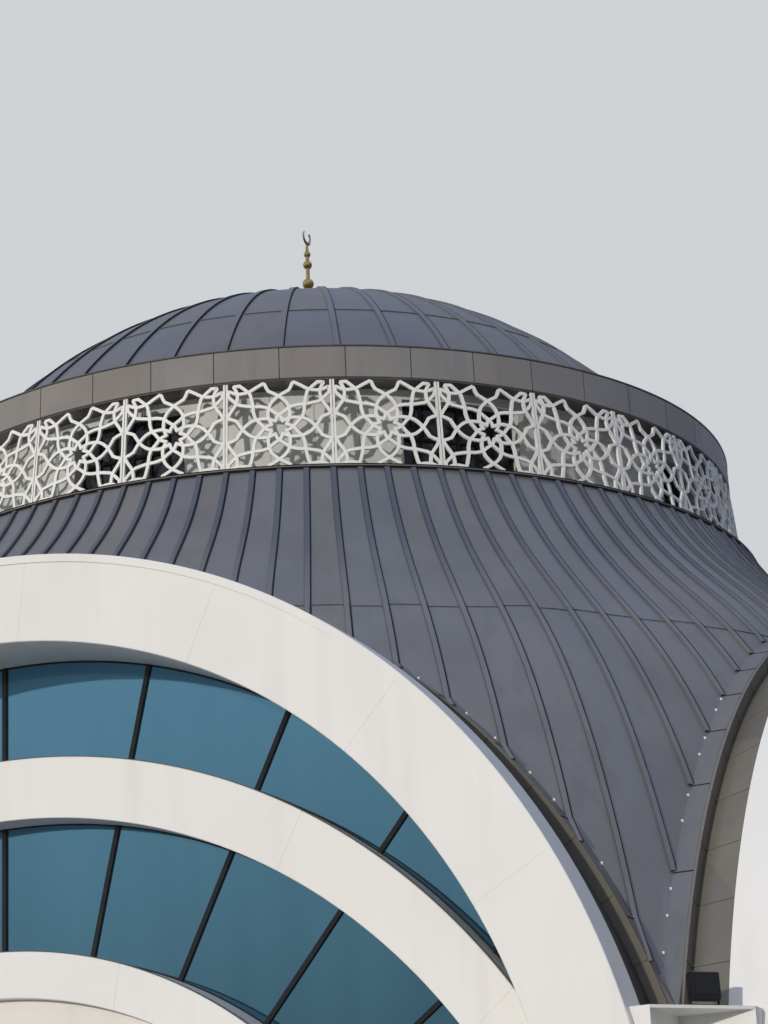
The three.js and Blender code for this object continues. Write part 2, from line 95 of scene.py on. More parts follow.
def degrees(name, default, text):
    return bpy.props.FloatProperty(name=name, description=text,
                                   default=math.radians(default), subtype="ANGLE")


def share(name, default, text):
    return bpy.props.FloatProperty(name=name, description=text, default=default,
                                   min=0.0, max=10.0, subtype="FACTOR")


def colour(name, default, text):
    return bpy.props.FloatVectorProperty(name=name, description=text, default=default,
                                         size=3, min=0.0, max=1.0, subtype="COLOR")


class HallArchSizes(bpy.types.PropertyGroup):
    face: length("Face", 14.176, "Distance of the white face from the middle")
    back: length("Back", 12.5, "Distance of the arch's back from the middle")
    centre: length("Centre height", 4.874, "Height of the arch's centre")
    outer: length("Outer radius", 12.883, "Radius of the arch's outside")
    inner: length("Clear radius", 11.278, "Radius of the clear opening")
    rim: length("Rim width", 0.148, "Width of the raised rim along the outside")
    step: length("Rim step", 0.025, "How far the rim stands off the face")
    top_depth: length("White top", 0.738, "Depth of the white top behind the face")
    joint_first: degrees("First joint", 6.2, "Direction of the first panel joint")
    joint_pitch: degrees("Joint pitch", 18.4, "Angle between panel joints")


class HallBandSizes(bpy.types.PropertyGroup):
    middle_face: length("Middle face", 13.204, "Distance of the middle arch's face")
    middle_outer: length("Middle outer radius", 12.486, "Outside of the middle arch")
    middle_inner: length("Middle inner radius", 11.453, "Inside of the middle arch")
    inner_face: length("Inner face", 13.524, "Distance of the inner arch's face")
    inner_outer: length("Inner outer radius", 9.046, "Outside of the inner arch")
    inner_inner: length("Inner inner radius", 8.629, "Inside of the inner arch")
    door_width: length("Doorway width", 3.2, "Clear width of the doorway")
    door_height: length("Doorway height", 4.2, "Clear height of the doorway")


class HallGlassSizes(bpy.types.PropertyGroup):
    face: length("Glass face", 12.61, "Distance of the glass from the middle")
    hub: length("Hub height", 2.88, "Height of the point the bars run towards")
    bar: length("Bar width", 0.088, "Width of a glazing bar")
    bar_depth: length("Bar depth", 0.04, "How far a bar stands off the glass")
    first: degrees("First bar", -0.3, "Direction of the bar next to the crown")
    pitch: degrees("Bar pitch", 13.6, "Angle between bars")


class HallRoofSizes(bpy.types.PropertyGroup):
    ring: length("Ring radius", 10.0, "Radius of the ring the roof starts from")
    height: length("Ring height", 20.36, "Height of the ring")
    battens: count("Battens", 120, "Batten seams all round the roof")
    batten_first: degrees("First batten", -0.55, "Direction of a batten at the front's middle")
    batten_lag: degrees("Batten lag", 0.4, "How far battens of the two cross sides lie back")
    batten_top: length("Batten top", 0.10, "Width of a batten's flat top")
    batten_foot: length("Batten foot", 0.125, "Width of a batten where it meets the sheet")
    batten_rise: length("Batten rise", 0.038, "Height of a batten above the sheet")
    # the black bead is painted shade along a batten's right side
    shade_bead: length("Sealant bead", 0.013, "Width of the black bead along a batten")
    strip: length("Edge strip", 0.35, "Width of the flashing along the edge")
    lap: length("Cross seam height", 16.49, "Height of the seam across the sheets")


class HallVergeSizes(bpy.types.PropertyGroup):
    plane: length("Board face", 12.759, "Distance of the edge board's face")
    centre: length("Centre height", 4.299, "Height of the edge's centre")
    top: length("Top radius", 13.28, "Radius of the board's top")
    foot: length("Foot radius", 13.019, "Radius of the board's foot")
    joint_first: degrees("First joint", 1.2, "Direction of the first joint")
    joint_pitch: degrees("Joint pitch", 5.3, "Angle between joints")


class HallDrumSizes(bpy.types.PropertyGroup):
    wall: length("Wall radius", 8.9, "Outside radius of the drum wall")
    wall_inner: length("Wall inside", 8.6, "Inside radius of the drum wall")
    foot: length("Foot height", 20.3403, "Height of the wall's foot")
    head: length("Head height", 22.4027, "Height of the wall's head")
    windows: count("Windows", 8, "Windows round the drum")
    first: degrees("First window", 2.2, "Direction of the first window's middle")
    width: degrees("Window width", 16.4, "Angle one window spans")
    sill: length("Sill height", 20.64, "Height of the window sills")
    top: length("Window top", 22.2, "Height of the window heads")
    fascia_foot: length("Fascia foot radius", 9.495, "Radius at the fascia's foot")
    fascia_top: length("Fascia top radius", 9.476, "Radius at the fascia's top")
    fascia_head: length("Fascia top", 23.129, "Height of the fascia's top")
    cassettes: count("Cassettes", 45, "Panels round the fascia")
    cassette_first: degrees("First cassette joint", 7.49, "Direction of one joint")


class HallScreenSizes(bpy.types.PropertyGroup):
    panels: count("Panels", 28, "Screen panels round the drum")
    first: degrees("First joint", 4.04, "Direction of one joint between panels")
    middle: length("Middle height", 21.366, "Height of the pattern's middle")
    radius: length("Foot radius", 9.66, "Radius of the plate's middle at its foot")
    taper: length("Taper", 0.105, "How much the radius drops in a metre of height")
    ribbon: length("Ribbon width", 0.064, "Width of the pattern's ribbons")
    depth: length("Ribbon depth", 0.055, "Thickness of the plate")


class HallDomeSizes(bpy.types.PropertyGroup):
    radius: length("Radius", 10.5, "Radius of the dome's sphere")
    centre: length("Centre height", 17.02, "Height of the sphere's centre")
    foot: length("Foot height", 22.5033, "Height of the dome's foot")
    thick: length("Thickness", 0.25, "Thickness of the dome")
    seams: count("Seams", 44, "Batten seams round the dome")
    seam_first: degrees("First seam", 6.67, "Direction of one seam")
    seam_width: length("Seam width", 0.12, "Width of a seam's flat top")
    seam_rise: length("Seam rise", 0.035, "Height of a seam above the sheet")
    lap: length("Cross seam height", 25.03, "Height of the seam across the sheets")


class HallFinishes(bpy.types.PropertyGroup):
    white: colour("White cladding", (0.87, 0.85, 0.80), "Aluminium panels of the arches")
    cream: colour("Cream render", (0.87, 0.83, 0.77), "Wall under the inner arch")
    flashing: colour("Flashing", (0.205, 0.190, 0.158), "Sheet along the roof's edge")
    fascia: colour("Fascia", (0.42, 0.385, 0.34), "Band under the dome")
    roof: colour("Roof sheet", (0.238, 0.235, 0.232), "Curved roof")
    dome: colour("Dome sheet", (0.190, 0.190, 0.195), "Dome")
    glass: colour("Tinted glass", (0.094, 0.228, 0.323), "Large glazing")
    dark_glass: colour("Drum glass", (0.02, 0.022, 0.026), "Drum windows")
    screen: colour("Screen", (0.88, 0.86, 0.80), "Openwork screen")
    panel: colour("Drum panel", (0.63, 0.635, 0.60), "Drum wall")
    brass: colour("Gilded brass", (0.66, 0.46, 0.17), "Finial")
    black: colour("Black paint", (0.012, 0.012, 0.013), "Lamps and glazing bars")
    # near-black painted shade for the ledge right of each arch's crown
    gutter: colour("Gutter sheet", (0.03, 0.03, 0.032), "Ledge right of each arch")
    stone: colour("Floor stone", (0.48, 0.46, 0.42), "Floor of the hall")


class HallStageSettings(bpy.types.PropertyGroup):
    sun: share("Sun", 1.88, "Strength of the key light")
    sun_side: degrees("Sun direction", -7.0, "Key light's direction, from the front")
    sun_height: degrees("Sun height", 10.5, "Key light's height above the horizon")
    sky: share("Sky", 0.78, "Strength of the fill light")
    lens: bpy.props.FloatProperty(name="Lens", description="Focal length",
                                  default=100.1395, subtype="NONE")


def sizes(name):
    return getattr(bpy.context.scene, "hall_" + name)


# a part is a pair: points (n, 3), and a list of face tables (n, corners)

def signed_volume(part):
    """Sum over a fan of triangles on each face of the box product of its corners, by six."""
    points, tables = part
    total = 0.0
    for table in tables:
        for i in range(1, table.shape[1] - 1):
            a, b, c = points[table[:, 0]], points[table[:, i]], points[table[:, i + 1]]
            total += np.einsum("ij,ij->", a, np.cross(b, c))
    return total / 6.0


def outward(part):
    """The same part with its faces turned over where they point inwards."""
    if signed_volume(part) < 0:
        return part[0], [table[:, ::-1] for table in part[1]]
    return part


def swept(sections, ring=False):
    """Outline (m points) carried through n places: faces join each outline's edges to the
    next one's, and the two ends are closed with one face each, unless it is a ring."""
    n, m = sections.shape[:2]
    rows = np.arange(n if ring else n - 1)[:, None] * m
    nexts = (rows + m) % (n * m)
    here = np.arange(m)[None, :]
    there = (here + 1) % m
    quads = np.stack([rows + here, nexts + here, nexts + there, rows + there], -1)
    tables = [quads.reshape(-1, 4)]
    if not ring:
        tables.append(np.stack([np.arange(m), (n - 1) * m + np.arange(m)[::-1]]))
    return outward((sections.reshape(-1, 3), tables))


def swept_lines(lines):
    """The same from one line of points along every corner of the outline."""
    return swept(np.stack(lines, 1))


def lathed(outline, steps):
    """Outline of (radius, height) turned round the axis. An end on the axis is one pole
    point; other outlines are closed loops. x = r sin a, y = -r cos a."""
    outline = np.asarray(outline, float)
    turn = np.arange(steps) * TURN / steps
    if outline[0, 0] > 1e-6:
        return swept(around(outline[None, :, 0], turn[:, None], outline[None, :, 1]), True)
    body = outline[1:-1]
    rings = around(body[:, None, 0], turn[None, :], body[:, None, 1])
    m = len(body)
    low = np.arange(m - 1)[:, None] * steps
    here = np.arange(steps)[None, :]
    there = (here + 1) % steps
    quads = np.stack([low + here, low + steps + here, low + steps + there, low + there], -1)
    poles = np.array([[0, 0, outline[0, 1]], [0, 0, outline[-1, 1]]])
    top, last = np.full(steps, m * steps), (m - 1) * steps
    fans = np.concatenate([np.stack([top, here[0], there[0]], -1),
                           np.stack([top + 1, last + there[0], last + here[0]], -1)])
    return outward((np.concatenate([rings.reshape(-1, 3), poles]),
                    [quads.reshape(-1, 4), fans]))


def around(radius, turn, height):
    """Points at a radius and a direction round the axis: x = r sin a, y = -r cos a."""
    radius, turn, height = np.broadcast_arrays(radius, turn, height)
    return np.stack([radius * np.sin(turn), -radius * np.cos(turn), height], -1)


def prism(outline, front, back):
    """Outline of (x, z) points drawn on two planes y = -front and y = -back."""
    outline = np.asarray(outline, float)
    layers = [np.stack([outline[:, 0], np.full(len(outline), -depth), outline[:, 1]], -1)
              for depth in (front, back)]
    return swept(np.stack(layers))


def block(low, high):
    """Box between two corners."""
    (x0, y0, z0), (x1, y1, z1) = low, high
    return prism([(x0, z0), (x1, z0), (x1, z1), (x0, z1)], -y0, -y1)


def moved(part, angle=0.0, offset=(0, 0, 0)):
    """Part turned by an angle about the vertical axis and then shifted."""
    c, s = math.cos(angle), math.sin(angle)
    points = part[0] @ np.array([[c, s, 0], [-s, c, 0], [0, 0, 1]]) + np.asarray(offset)
    return points, part[1]


def mirrored(part):
    """The same part across the upright plane that runs through the front right corner."""
    x, y, z = part[0].T
    return outward((np.stack([-y, -x, z], -1), part[1]))


def joined(parts):
    """Several parts as one: points one after the other, faces shifted to match."""
    points, tables, at = [], [], 0
    for part in parts:
        points.append(part[0])
        tables.extend(table + at for table in part[1])
        at += len(part[0])
    return np.concatenate(points), tables


def stations(low, high, step, joints=(), gap=0.0):
    """Even stations from low to high, and four at each joint: two at its lips and two on
    its floor. Gives the stations and 1 where a station lies on a joint's floor, else 0."""
    even = np.linspace(low, high, max(2, int(round((high - low) / step)) + 1))
    joints = np.asarray([j for j in joints if low + gap < j < high - gap], float)
    if not len(joints):
        return even, np.zeros(len(even))
    clear = np.all(np.abs(even[:, None] - joints[None, :]) > gap, axis=1)
    clear[[0, -1]] = True
    lips = np.concatenate([joints - gap * 0.6, joints + gap * 0.6])
    floors = np.concatenate([joints - gap * 0.5, joints + gap * 0.5])
    places = np.concatenate([even[clear], lips, floors])
    sunk = np.concatenate([np.zeros(clear.sum() + len(lips)), np.ones(len(floors))])
    order = np.argsort(places, kind="stable")
    return places[order], sunk[order]


def with_ends(values, end):
    """Values with one more at each end: the same number below and above zero."""
    return np.concatenate([[-end], values, [end]])


def piece(name, parts, finish, slot=None, stands_for=(), sharp=35.0):
    """A mesh object from parts, smooth but for edges sharper than the given angle. The slot
    argument is not used."""
    slot = slot or finish
    points, tables = joined(parts)
    mesh = bpy.data.meshes.new(name)
    corners = np.concatenate([table.ravel() for table in tables])
    counts = np.concatenate([np.full(len(table), table.shape[1]) for table in tables])
    starts = np.concatenate([[0], np.cumsum(counts)[:-1]])
    mesh.vertices.add(len(points))
    mesh.vertices.foreach_set("co", points.astype(np.float32).ravel())
    mesh.loops.add(len(corners))
    mesh.loops.foreach_set("vertex_index", corners.astype(np.int32))
    mesh.polygons.add(len(starts))
    mesh.polygons.foreach_set("loop_start", starts.astype(np.int32))
    mesh.polygons.foreach_set("use_smooth", np.ones(len(starts), bool))
    mesh.update(calc_edges=True)
    if mesh.validate():
        raise RuntimeError(name + " has faces that don't hold together")
    mesh.set_sharp_from_angle(angle=math.radians(sharp))
    mesh.materials.append(look(finish))
    made = bpy.data.objects.new(name, mesh)
    bpy.context.scene.collection.objects.link(made)
    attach(made, BODY)
    if stands_for:
        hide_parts(*stands_for)
    return made


def quarter_turns(names, ending, parts, finish, slot=None, node=None, sharp=35.0):
    """The same parts at each of the four sides or corners, one piece each."""
    for k, name in enumerate(names):
        turned = [moved(part, k * QUARTER) for part in parts]
        stands_for = (name + "_" + node,) if node else ()
        piece(name + "_" + ending, turned, finish, slot, stands_for, sharp)


# curves

def arch_curve(radius, centre, station):
    """Arch of a radius about (0, centre): stations -90 to 90 go round the half circle by
    angle from the crown, and 90 to 100 go straight down the leg to the ground."""
    angle = np.radians(np.clip(station, -90, 90))
    down = np.clip((np.abs(station) - 90) / (LEG - 90), 0, 1)
    return radius * np.sin(angle), centre + radius * np.cos(angle) - down * centre


def arch_part(station, radii, centres, depths):
    """Part swept along an arch: each outline point has its own radius, centre and depth."""
    radii, centres, depths, place = np.broadcast_arrays(radii, centres, depths,
                                                        station[:, None])
    x, z = arch_curve(radii, centres, place)
    return swept(np.stack([x, -depths, z], -1))


def columns(*values):
    """Numbers and arrays set side by side as the columns of one table."""
    return np.stack(np.broadcast_arrays(*[np.asarray(v, float) for v in values]), -1)


def reach_to(circle_radius, circle_centre, origin, angle):
    """Distance along a ray from (0, origin), at an angle from the vertical, to a circle
    about (0, circle_centre): the positive root of the quadratic in the distance."""
    drop = circle_centre - origin
    along = drop * np.cos(angle)
    return along + np.sqrt(np.maximum(along ** 2 + circle_radius ** 2 - drop ** 2, 0))


def opening_reach(origin, station, radius):
    """Distance from (0, origin) to the great arch's opening, circle or straight leg."""
    arch = sizes("arch")
    angle = np.radians(np.clip(station, -90, 90))
    ring = reach_to(radius, arch.centre, origin, angle)
    leg = radius / np.maximum(np.abs(np.sin(angle)), 1e-6)
    return np.where(origin + ring * np.cos(angle) < arch.centre, leg, ring)


def verge_reach(radius, angle):
    """Distance from the great arch's centre to a circle about the roof edge's centre."""
    return reach_to(radius, sizes("verge").centre, sizes("arch").centre, angle)


def verge_height(radius, across):
    """Height of a circle about the roof edge's centre, at a distance sideways."""
    return sizes("verge").centre + np.sqrt(np.maximum(radius ** 2 - across ** 2, 0))


def roof_edge(turn, inset=0.0):
    """Distance from the axis and height of the roof's edge, or of the line an inset behind
    it, with the angle from the middle of the side: a circle's height, held at the corner."""
    side = np.abs((turn + QUARTER / 2) % QUARTER - QUARTER / 2)
    plane = ROOF_EDGE - inset
    height = verge_height(sizes("verge").top, plane * np.tan(side))
    return plane / np.cos(side), np.maximum(height, CORNER_HEIGHT), side


def roof_point(turn, along):
    """Roof surface: in the upright plane at a turn round the axis, height is the cubic
    that leaves the ring and meets the edge strip with given heights and slopes."""
    roof = sizes("roof")
    reach, edge, side = roof_edge(turn, roof.strip)
    run = reach - roof.ring
    lean = np.tan(side)
    leave, arrive = (-sum(slope * lean ** (k * step) for k, slope in enumerate(slopes)) * run
                     for slopes, step in ((RING_SLOPES, 1), (FOOT_SLOPES, 2)))
    t2, t3 = along ** 2, along ** 3
    height = ((2 * t3 - 3 * t2 + 1) * roof.height + (t3 - 2 * t2 + along) * leave
              + (3 * t2 - 2 * t3) * edge + (t3 - t2) * arrive)
    return around(roof.ring + along * run, turn, height)


def unit(vectors):
    return vectors / np.maximum(np.linalg.norm(vectors, axis=-1, keepdims=True), 1e-12)


def roof_frame(turn, along):
    """Point on the roof with the unit vectors down the slope, to the right and outwards,
    from differences a small step apart; all but the last lie in the roof's surface."""
    small = 1e-4
    here = roof_point(turn, along)
    down = unit(roof_point(turn, along + small) - roof_point(turn, along - small))
    sideways = roof_point(turn + small, along) - roof_point(turn - small, along)
    out = unit(np.cross(sideways, down))
    out = np.where(out[..., 2:] < 0, -out, out)
    return here, down, unit(np.cross(out, down)), out


def roof_along_at_height(turn, height):
    """How far along each plane the roof comes down to a height, read off a fine table."""
    grid = np.linspace(0, 1, 401)
    heights = roof_point(np.asarray(turn)[:, None], grid[None, :])[..., 2]
    return np.array([np.interp(-height, -row, grid) for row in heights])


# materials

def node(tree, kind, put=None, **settings):
    """A shader node with its settings; put fills inputs with values or linked outputs."""
    made = tree.nodes.new("ShaderNode" + kind)
    for key, value in settings.items():
        setattr(made, key, value)
    for key, value in (put or {}).items():
        if isinstance(value, bpy.types.NodeSocket):
            tree.links.new(value, made.inputs[key])
        else:
            made.inputs[key].default_value = value
    return made


def maths(tree, operation, a, b=0.0):
    return node(tree, "Math", {0: a, 1: b}, operation=operation).outputs[0]


def blend(tree, factor, a, b):
    return node(tree, "MixRGB", {0: factor, 1: a, 2: b}).outputs[0]


def ramp(tree, value, low, high):
    """Value carried from the range low to high onto 0 to 1, held at its ends."""
    put = {"Value": value, "From Min": low, "From Max": high}
    return node(tree, "MapRange", put).outputs[0]


def object_place(tree, scale=(1, 1, 1)):
    """Object coordinates, scaled along each axis."""
    place = node(tree, "TexCoord").outputs["Object"]
    return node(tree, "Mapping", {"Vector": place, "Scale": scale}).outputs[0]


def object_height(tree):
    return node(tree, "SeparateXYZ", {0: object_place(tree)}).outputs[2]


def noise(tree, place, scale, detail=3.0):
    put = {"Vector": place, "Scale": scale, "Detail": detail}
    return node(tree, "TexNoise", put).outputs[0]


def group(name, inputs, outputs, fill):
    """A shader node group made once: fill(tree, inputs, outputs) wires its inside."""
    if name in bpy.data.node_groups:
        return bpy.data.node_groups[name]
    tree = bpy.data.node_groups.new(name, "ShaderNodeTree")
    for label, kind, default in inputs:
        socket = tree.interface.new_socket(name=label, in_out="INPUT",
                                           socket_type="NodeSocket" + kind)
        socket.default_value = default
    for label, kind in outputs:
        tree.interface.new_socket(name=label, in_out="OUTPUT",
                                  socket_type="NodeSocket" + kind)
    entry = tree.nodes.new("NodeGroupInput")
    leave = tree.nodes.new("NodeGroupOutput")
    for label, value in fill(tree, entry.outputs).items():
        tree.links.new(value, leave.inputs[label])
    return tree


def weather_group():
    """Grime: broad patches and fine vertical streaks darken a colour; grain gives height."""
    def fill(tree, given):
        broad = noise(tree, object_place(tree), given["Patch scale"], 4.0)
        streaks = noise(tree, object_place(tree, (1, 1, 0.09)), given["Streak scale"], 5.0)
        patch_mask = maths(tree, "MULTIPLY", ramp(tree, broad, 0.42, 0.72), given["Patches"])
        streak_mask = maths(tree, "MULTIPLY", ramp(tree, streaks, 0.5, 0.78),
                            given["Streaks"])
        mask = maths(tree, "MAXIMUM", patch_mask, streak_mask)
        grain = noise(tree, object_place(tree), given["Grain scale"], 2.0)
        shade = blend(tree, mask, given["Colour"], given["Grime"])
        return {"Colour": shade, "Mask": mask, "Height": grain}
    return group("Hall weathering",
                 [("Colour", "Color", (0.8, 0.8, 0.8, 1)), ("Grime", "Color", (0.3, 0.3, 0.3, 1)),
                  ("Patches", "Float", 0.2), ("Streaks", "Float", 0.2),
                  ("Patch scale", "Float", 0.35), ("Streak scale", "Float", 1.5),
                  ("Grain scale", "Float", 40.0)],
                 [("Colour", "Color"), ("Mask", "Float"), ("Height", "Float")], fill)


def sheet_group():
    """One random number a sheet: sheets are counted round the axis, and split in height."""
    def fill(tree, given):
        place = node(tree, "SeparateXYZ",
                     {0: node(tree, "TexCoord").outputs["Object"]}).outputs
        turn = maths(tree, "ARCTAN2", place[0], maths(tree, "MULTIPLY", place[1], -1.0))
        index = maths(tree, "DIVIDE", maths(tree, "SUBTRACT", turn, given["First"]),
                      given["Pitch"])
        row = maths(tree, "GREATER_THAN", place[2], given["Split height"])
        key = node(tree, "CombineXYZ", {0: maths(tree, "FLOOR", index), 1: row}).outputs[0]
        random = node(tree, "TexWhiteNoise", {"Vector": key}, noise_dimensions="3D")
        return {"Random": random.outputs["Value"]}
    return group("Hall sheet by sheet",
                 [("First", "Float", 0.0), ("Pitch", "Float", 0.1),
                  ("Split height", "Float", 0.0)],
                 [("Random", "Float")], fill)


def ripple_group():
    """Soft dents of thin sheet metal: broad noise stretched down the slope, as a height."""
    def fill(tree, given):
        place = object_place(tree, (1, 1, 0.55))
        broad = noise(tree, place, given["Scale"], 1.5)
        fine = noise(tree, place, maths(tree, "MULTIPLY", given["Scale"], 4.0), 1.0)
        return {"Height": maths(tree, "ADD", broad, maths(tree, "MULTIPLY", fine, 0.25))}
    return group("Hall sheet ripple", [("Scale", "Float", 1.0)], [("Height", "Float")], fill)


def use(tree, kit, put):
    """A group placed in a material with its own values."""
    return node(tree, "Group", put, node_tree=kit).outputs


def new_material(name, plain):
    """A material whose shader has its plain values set on its own sockets."""
    look = bpy.data.materials.new(name)
    look.use_nodes = True
    tree = look.node_tree
    shader = tree.nodes["Principled BSDF"]
    for key, value in plain.items():
        shader.inputs[key].default_value = value
    return look, tree, shader


def rgba(colour_value, gain=1.0):
    return tuple(min(1.0, c * gain) for c in colour_value) + (1.0,)


def bump(tree, shader, height, strength, distance):
    made = node(tree, "Bump", {"Height": height, "Strength": strength,
                               "Distance": distance})
    tree.links.new(made.outputs[0], shader.inputs["Normal"])


def coat(tree, shader, tint, rough, uneven, factor):
    """Colour, and a roughness that rises by a factor times an uneven value."""
    tree.links.new(tint, shader.inputs["Base Color"])
    rising = maths(tree, "ADD", maths(tree, "MULTIPLY", uneven, factor), rough)
    tree.links.new(rising, shader.inputs["Roughness"])


def painted(name, base, rough, grime, patches, streaks, grain=40.0, rise=0.002,
            metal=0.0, patch_scale=0.35, streak_scale=1.5):
    """Matt coated surface: weathered colour, roughness that follows the grime, and grain."""
    look, tree, shader = new_material(name, {"Metallic": metal})
    out = use(tree, weather_group(), {
        "Colour": rgba(base), "Grime": rgba(grime), "Patches": patches, "Streaks": streaks,
        "Patch scale": patch_scale, "Streak scale": streak_scale, "Grain scale": grain})
    coat(tree, shader, out["Colour"], rough, out["Mask"], 0.2)
    bump(tree, shader, out["Height"], 0.5, rise)
    return look


def sheet_metal(name, base, rough, metal, pitch, first, split, spread, ripple=0.012,
                painted_reflection_from=None):
    """Coated sheets: each has its own tint, faint stains, and soft dents in the light. Above
    a given height a painted navy reflection darkens the coating over two metres."""
    brownish, dirt = (0.42, 0.33, 0.24), (0.05, 0.05, 0.055)
    look, tree, shader = new_material(name, {"Metallic": metal})
    random = use(tree, sheet_group(), {"First": first, "Pitch": pitch,
                                       "Split height": split})["Random"]
    tinted = blend(tree, maths(tree, "MULTIPLY", random, spread), rgba(base), rgba(brownish))
    # above the given height a painted navy reflection darkens the sheet
    if painted_reflection_from is not None:
        painted_navy_reflection = rgba(c * part for c, part in zip(base, (0.62, 0.66, 0.76)))
        tinted = blend(tree, ramp(tree, object_height(tree), painted_reflection_from, painted_reflection_from + 2.0),
                       tinted, painted_navy_reflection)
    out = use(tree, weather_group(), {
        "Colour": tinted, "Grime": rgba(dirt), "Patches": 0.18, "Streaks": 0.22,
        "Patch scale": 0.6, "Streak scale": 2.2, "Grain scale": 25.0})
    coat(tree, shader, out["Colour"], rough, random, 0.1)
    height = use(tree, ripple_group(), {"Scale": 1.1})["Height"]
    bump(tree, shader, height, 0.6, ripple)
    return look


def glass_look(name, base, metal, rough):
    """Coated glass: mirror-like, in tints that drift over metres, slightly wavy, and
    lighter towards the top as a painted reflection.
    """
    look, tree, shader = new_material(name, {
        "Metallic": metal, "Transmission Weight": 0.0, "IOR": 1.5})
    drift = noise(tree, object_place(tree, (1, 1, 0.35)), 0.28, 2.0)
    fine = noise(tree, object_place(tree, (1, 1, 0.12)), 1.6, 3.0)
    height = object_height(tree)
    mask = maths(tree, "ADD", maths(tree, "MULTIPLY", drift, 0.35),
                 maths(tree, "MULTIPLY", fine, 0.2))
    # painted reflection: the glass gets lighter from 6 m up to 16.5 m
    mask = maths(tree, "ADD", mask, ramp(tree, height, 6.0, 16.5))
    drift_and_painted_reflection = blend(tree, ramp(tree, mask, 0.25, 1.15), rgba(base, 0.52), rgba(base, 1.5))
    coat(tree, shader, drift_and_painted_reflection, rough, noise(tree, object_place(tree), 3.0, 4.0), 0.04)
    bump(tree, shader, drift, 0.25, 0.02)
    return look


def stone_look(name, base):
    """Stone tiles: joints from a brick pattern, a drift of colour, and fine grain."""
    look, tree, shader = new_material(name, {"Metallic": 0.0})
    place = object_place(tree)
    tiles = node(tree, "TexBrick", {
        "Vector": place, "Color1": rgba(base), "Color2": rgba(base, 0.88),
        "Mortar": rgba(base, 0.5), "Scale": 1.0, "Mortar Size": 0.006,
        "Brick Width": 0.6, "Row Height": 0.6}, offset=0.0)
    cloud = noise(tree, place, 2.2, 5.0)
    tint = blend(tree, ramp(tree, cloud, 0.4, 0.75), tiles.outputs["Color"], rgba(base, 0.75))
    coat(tree, shader, tint, 0.35, cloud, 0.3)
    bump(tree, shader, tiles.outputs["Fac"], -0.4, 0.004)
    return look


def make_look(key):
    """One finish from the table: the maker's function, then its values in order."""
    paint, dome, drum, roof = (sizes(n) for n in ("finishes", "dome", "drum", "roof"))
    batten = TURN / roof.battens
    joint = 0.093  # angle round the axis that a sheet of the roof's edge spans
    recipes = {
        # name, colour, roughness, grime, patches, streaks, grain, its height, and for some
        # metal, patch scale and streak scale
        "white_cladding": (painted, "White panels", paint.white, 0.42, (0.42, 0.40, 0.36),
                           0.10, 0.16, 60.0, 0.0012),
        "cream_render": (painted, "Cream render", paint.cream, 0.8, (0.34, 0.29, 0.22),
                         0.2, 0.3, 70.0, 0.006),
        # black: real seals in joints, and painted shade as beads beside battens and seams and as
        # the closure at the ring
        "sealant": (painted, "Sealant", (0.006, 0.006, 0.008), 0.7, (0.03, 0.03, 0.03),
                    0.2, 0.2, 150.0, 0.001),
        "screen_white": (painted, "Screen white", paint.screen, 0.45, (0.45, 0.42, 0.37),
                         0.15, 0.15, 90.0, 0.001, 0.0, 1.2, 4.0),
        "drum_panel": (painted, "Drum panels", paint.panel, 0.6, (0.2, 0.19, 0.15),
                       0.25, 0.25, 50.0, 0.002, 0.0, 0.8, 2.5),
        "gilded_brass": (painted, "Gilded brass", paint.brass, 0.22, (0.25, 0.15, 0.05),
                         0.35, 0.2, 80.0, 0.001, 1.0, 3.0, 6.0),
        "black_metal": (painted, "Black paint", paint.black, 0.55, (0.04, 0.037, 0.033),
                        0.3, 0.2, 120.0, 0.0006, 0.0, 4.0, 6.0),
        # name, colour, roughness, metal, angle a sheet spans, first joint, height of the
        # cross seam, spread of tints, and for some the dents' height and where the painted navy
        # reflection starts
        "flashing_metal": (sheet_metal, "Edge sheet", paint.flashing, 0.36, 0.35, joint,
                           0.02, 0.0, 0.3),
        # painted shade: the ledge right of each crown, dark where it faces away from the light
        "ledge_shade_metal": (sheet_metal, "Gutter sheet", paint.gutter, 0.45, 0.5, joint,
                         0.02, 0.0, 0.2),
        "fascia_metal": (sheet_metal, "Fascia sheet", paint.fascia, 0.36, 0.72,
                         TURN / drum.cassettes, drum.cassette_first, 0.0, 0.35, 0.008),
        "roof_metal": (sheet_metal, "Roof sheet", paint.roof, 0.38, 0.6, batten, 0.0,
                       roof.lap, 0.22),
        # battens darken to a painted navy reflection above 16.6 m
        "batten_metal": (sheet_metal, "Batten sheet", tuple(c * 0.97 for c in paint.roof),
                         0.34, 0.6, batten, batten / 2, roof.lap, 0.22, 0.004, 16.6),
        "strip_metal": (sheet_metal, "Dark edge strip", tuple(c * 0.55 for c in paint.roof),
                        0.35, 0.6, batten, 0.0, 0.0, 0.2, 0.006),
        "dome_metal": (sheet_metal, "Dome sheet", paint.dome, 0.36, 0.6, TURN / dome.seams,
                       dome.seam_first, dome.lap, 0.25),
        # name, colour, metal, roughness
        "tinted_glass": (glass_look, "Tinted glass", paint.glass, 0.9, 0.03),
        "drum_window_glass": (glass_look, "Drum glass", paint.dark_glass, 0.3, 0.05),
        "lamp_glass": (glass_look, "Lamp glass", (0.03, 0.03, 0.033), 0.3, 0.12),
        "floor_stone": (stone_look, "Floor stone", paint.stone),
    }
    make, *values = recipes[key]
    return make(*values)


LOOKS = {}


def look(key):
    if key not in LOOKS:
        LOOKS[key] = make_look(key)
    return LOOKS[key]


def dress_node(name, key):
    """A CAD node that stays gets a finish in its material slots."""
    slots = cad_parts[name].material_slots
    if not slots:
        raise RuntimeError(name + " has no material slot")
    for place in slots:
        place.material = look(key)


# operators

class HallOperator:
    """Shared by every operator: run build() and report that it finished."""
    bl_options = {"REGISTER", "UNDO"}

    def execute(self, context):
        self.build()
        return {"FINISHED"}


